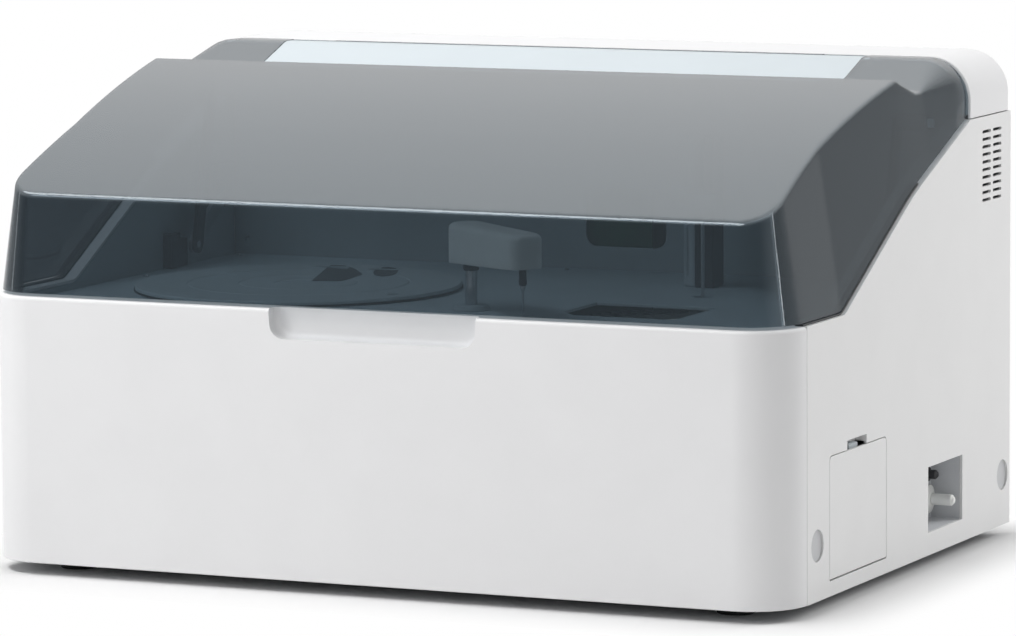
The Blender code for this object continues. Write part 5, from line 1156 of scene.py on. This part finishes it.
def floor_material():
    """A matte floor round the machine that goes over into a plain white backdrop."""
    made, tree, shader = new_material("floor_pale")
    shader.inputs["Base Color"].default_value = (0.90, 0.90, 0.90, 1.0)
    shader.inputs["Roughness"].default_value = 0.9
    shader.inputs["Specular IOR Level"].default_value = 0.1
    place = add_node(tree, "ShaderNodeTexCoord")
    either_side = add_node(tree, "ShaderNodeVectorMath", "ABSOLUTE")
    beyond = add_node(tree, "ShaderNodeVectorMath", "SUBTRACT")
    beyond.inputs[1].default_value = (half_width - 0.05, half_depth - 0.05, 0)
    outside = add_node(tree, "ShaderNodeVectorMath", "MAXIMUM")
    away = add_node(tree, "ShaderNodeVectorMath", "LENGTH")
    fade = add_node(tree, "ShaderNodeMapRange", From_Min=0.05, From_Max=0.15)
    fade.interpolation_type = "SMOOTHSTEP"
    path = add_node(tree, "ShaderNodeLightPath")
    unseen = add_node(tree, "ShaderNodeMath", "MULTIPLY_ADD")
    unseen.inputs[1].default_value = -0.6
    unseen.inputs[2].default_value = 1.0
    share = add_node(tree, "ShaderNodeMath", "MULTIPLY")
    white = add_node(tree, "ShaderNodeEmission")
    mix = add_node(tree, "ShaderNodeMixShader")
    wire(tree, (place, "Object", either_side, 0), (either_side, "Vector", beyond, 0),
         (beyond, "Vector", outside, 0), (outside, "Vector", away, 0),
         (away, "Value", fade, "Value"), (path, "Is Diffuse Ray", unseen, 0),
         (unseen, "Value", share, 0), (fade, "Result", share, 1), (share, "Value", mix, "Fac"),
         (shader, "BSDF", mix, 1), (white, "Emission", mix, 2),
         (mix, "Shader", tree.nodes["Material Output"], "Surface"))
    return made


floor_mesh = mesh_of("floor", [(-6, -6, 0), (6, -6, 0), (6, 8, 0), (-6, 8, 0)], [(0, 1, 2, 3)])
floor = put("floor", floor_mesh, floor_material())

world = bpy.data.worlds.new("studio")
bpy.context.scene.world = world
world.use_nodes = True
tree = world.node_tree
sky = tree.nodes["Background"]
sky.inputs["Color"].default_value = (1, 1, 1, 1)
sky.inputs["Strength"].default_value = 0.22
direction = add_node(tree, "ShaderNodeTexCoord")
height_in_sky = add_node(tree, "ShaderNodeSeparateXYZ")
brighter = add_node(tree, "ShaderNodeMapRange", From_Min=0.20, From_Max=0.85, To_Min=1.0,
                    To_Max=4.4)
dim_front = add_node(tree, "ShaderNodeMapRange", From_Min=-0.6, From_Max=0.0, To_Min=0.35,
                     To_Max=1.0)
strength = add_node(tree, "ShaderNodeMath", "MULTIPLY")
white = add_node(tree, "ShaderNodeBackground")
path = add_node(tree, "ShaderNodeLightPath")
seen = add_node(tree, "ShaderNodeMath", "MAXIMUM")
seen_more = add_node(tree, "ShaderNodeMath", "MAXIMUM")
choose = add_node(tree, "ShaderNodeMixShader")
wire(tree, (direction, "Generated", height_in_sky, 0), (height_in_sky, "Z", brighter, "Value"),
     (height_in_sky, "Y", dim_front, "Value"), (brighter, "Result", strength, 0),
     (dim_front, "Result", strength, 1), (strength, "Value", white, "Strength"),
     (path, "Is Camera Ray", seen, 0), (path, "Is Glossy Ray", seen, 1),
     (seen, "Value", seen_more, 0), (path, "Is Transmission Ray", seen_more, 1),
     (seen_more, "Value", choose, "Fac"), (sky, "Background", choose, 1),
     (white, "Background", choose, 2), (choose, "Shader", tree.nodes["World Output"], "Surface"))


def soft_lamp(name, place, target, size, power, mirrored=True):
    data = bpy.data.lights.new(name, "AREA")
    data.shape = "RECTANGLE"
    data.size, data.size_y = size
    data.energy = power
    made = bpy.data.objects.new(name, data)
    bpy.context.scene.collection.objects.link(made)
    made.location = place
    made.rotation_mode = "QUATERNION"
    made.rotation_quaternion = (Vector(place) - Vector(target)).to_track_quat("Z", "Y")
    made.visible_glossy = mirrored
    return made


soft_lamp("front_left", (-2.2, -2.6, 1.2), (0, 0, 0.25), (1.6, 1.6), 25, mirrored=False)
soft_lamp("rear_right", (2.1, 2.4, 1.8), (0, 0, 0.3), (1.6, 1.6), 52, mirrored=False)
soft_lamp("bar_above", (-0.8, -1.1, 2.2), (0, -0.2, 0.4), (3.0, 0.5), 40)
soft_lamp("bar_right", (2.6, 0.1, 0.9), (0.3, 0, 0.3), (0.12, 1.4), 3.5)
soft_lamp("bar_left", (-2.6, -0.5, 0.9), (-0.3, 0, 0.3), (0.12, 1.4), 1.5)

# %% [markdown]
# ## The camera
# A long lens a few metres away, from the front right and a little above. Its place comes from
# fitting the casing's corners to their places in the picture.
# %% Place the camera
image_width, focal_px, sensor_mm = 1016, 6033.3, 36.0
turn, lift, roll = radians(24.688), radians(6.922), radians(-0.391)
right = Vector((cos(turn), sin(turn), 0))
back = Vector((sin(turn) * cos(lift), -cos(turn) * cos(lift), sin(lift)))
up = back.cross(right)
level_right = right * cos(roll) + up * sin(roll)
level_up = up * cos(roll) - right * sin(roll)
lens = bpy.data.cameras.new("photo_view")
lens.sensor_width = sensor_mm
lens.lens = focal_px * sensor_mm / image_width
lens.clip_end = 40.0
camera = bpy.data.objects.new("photo_view", lens)
bpy.context.scene.collection.objects.link(camera)
pose = Matrix((level_right, level_up, back)).transposed().to_4x4()
pose.translation = Vector((0.00524, 0, 0.23892)) + back * 6.0764
camera.matrix_world = pose
bpy.context.scene.camera = camera
bpy.context.scene.view_settings.view_transform = "Standard"
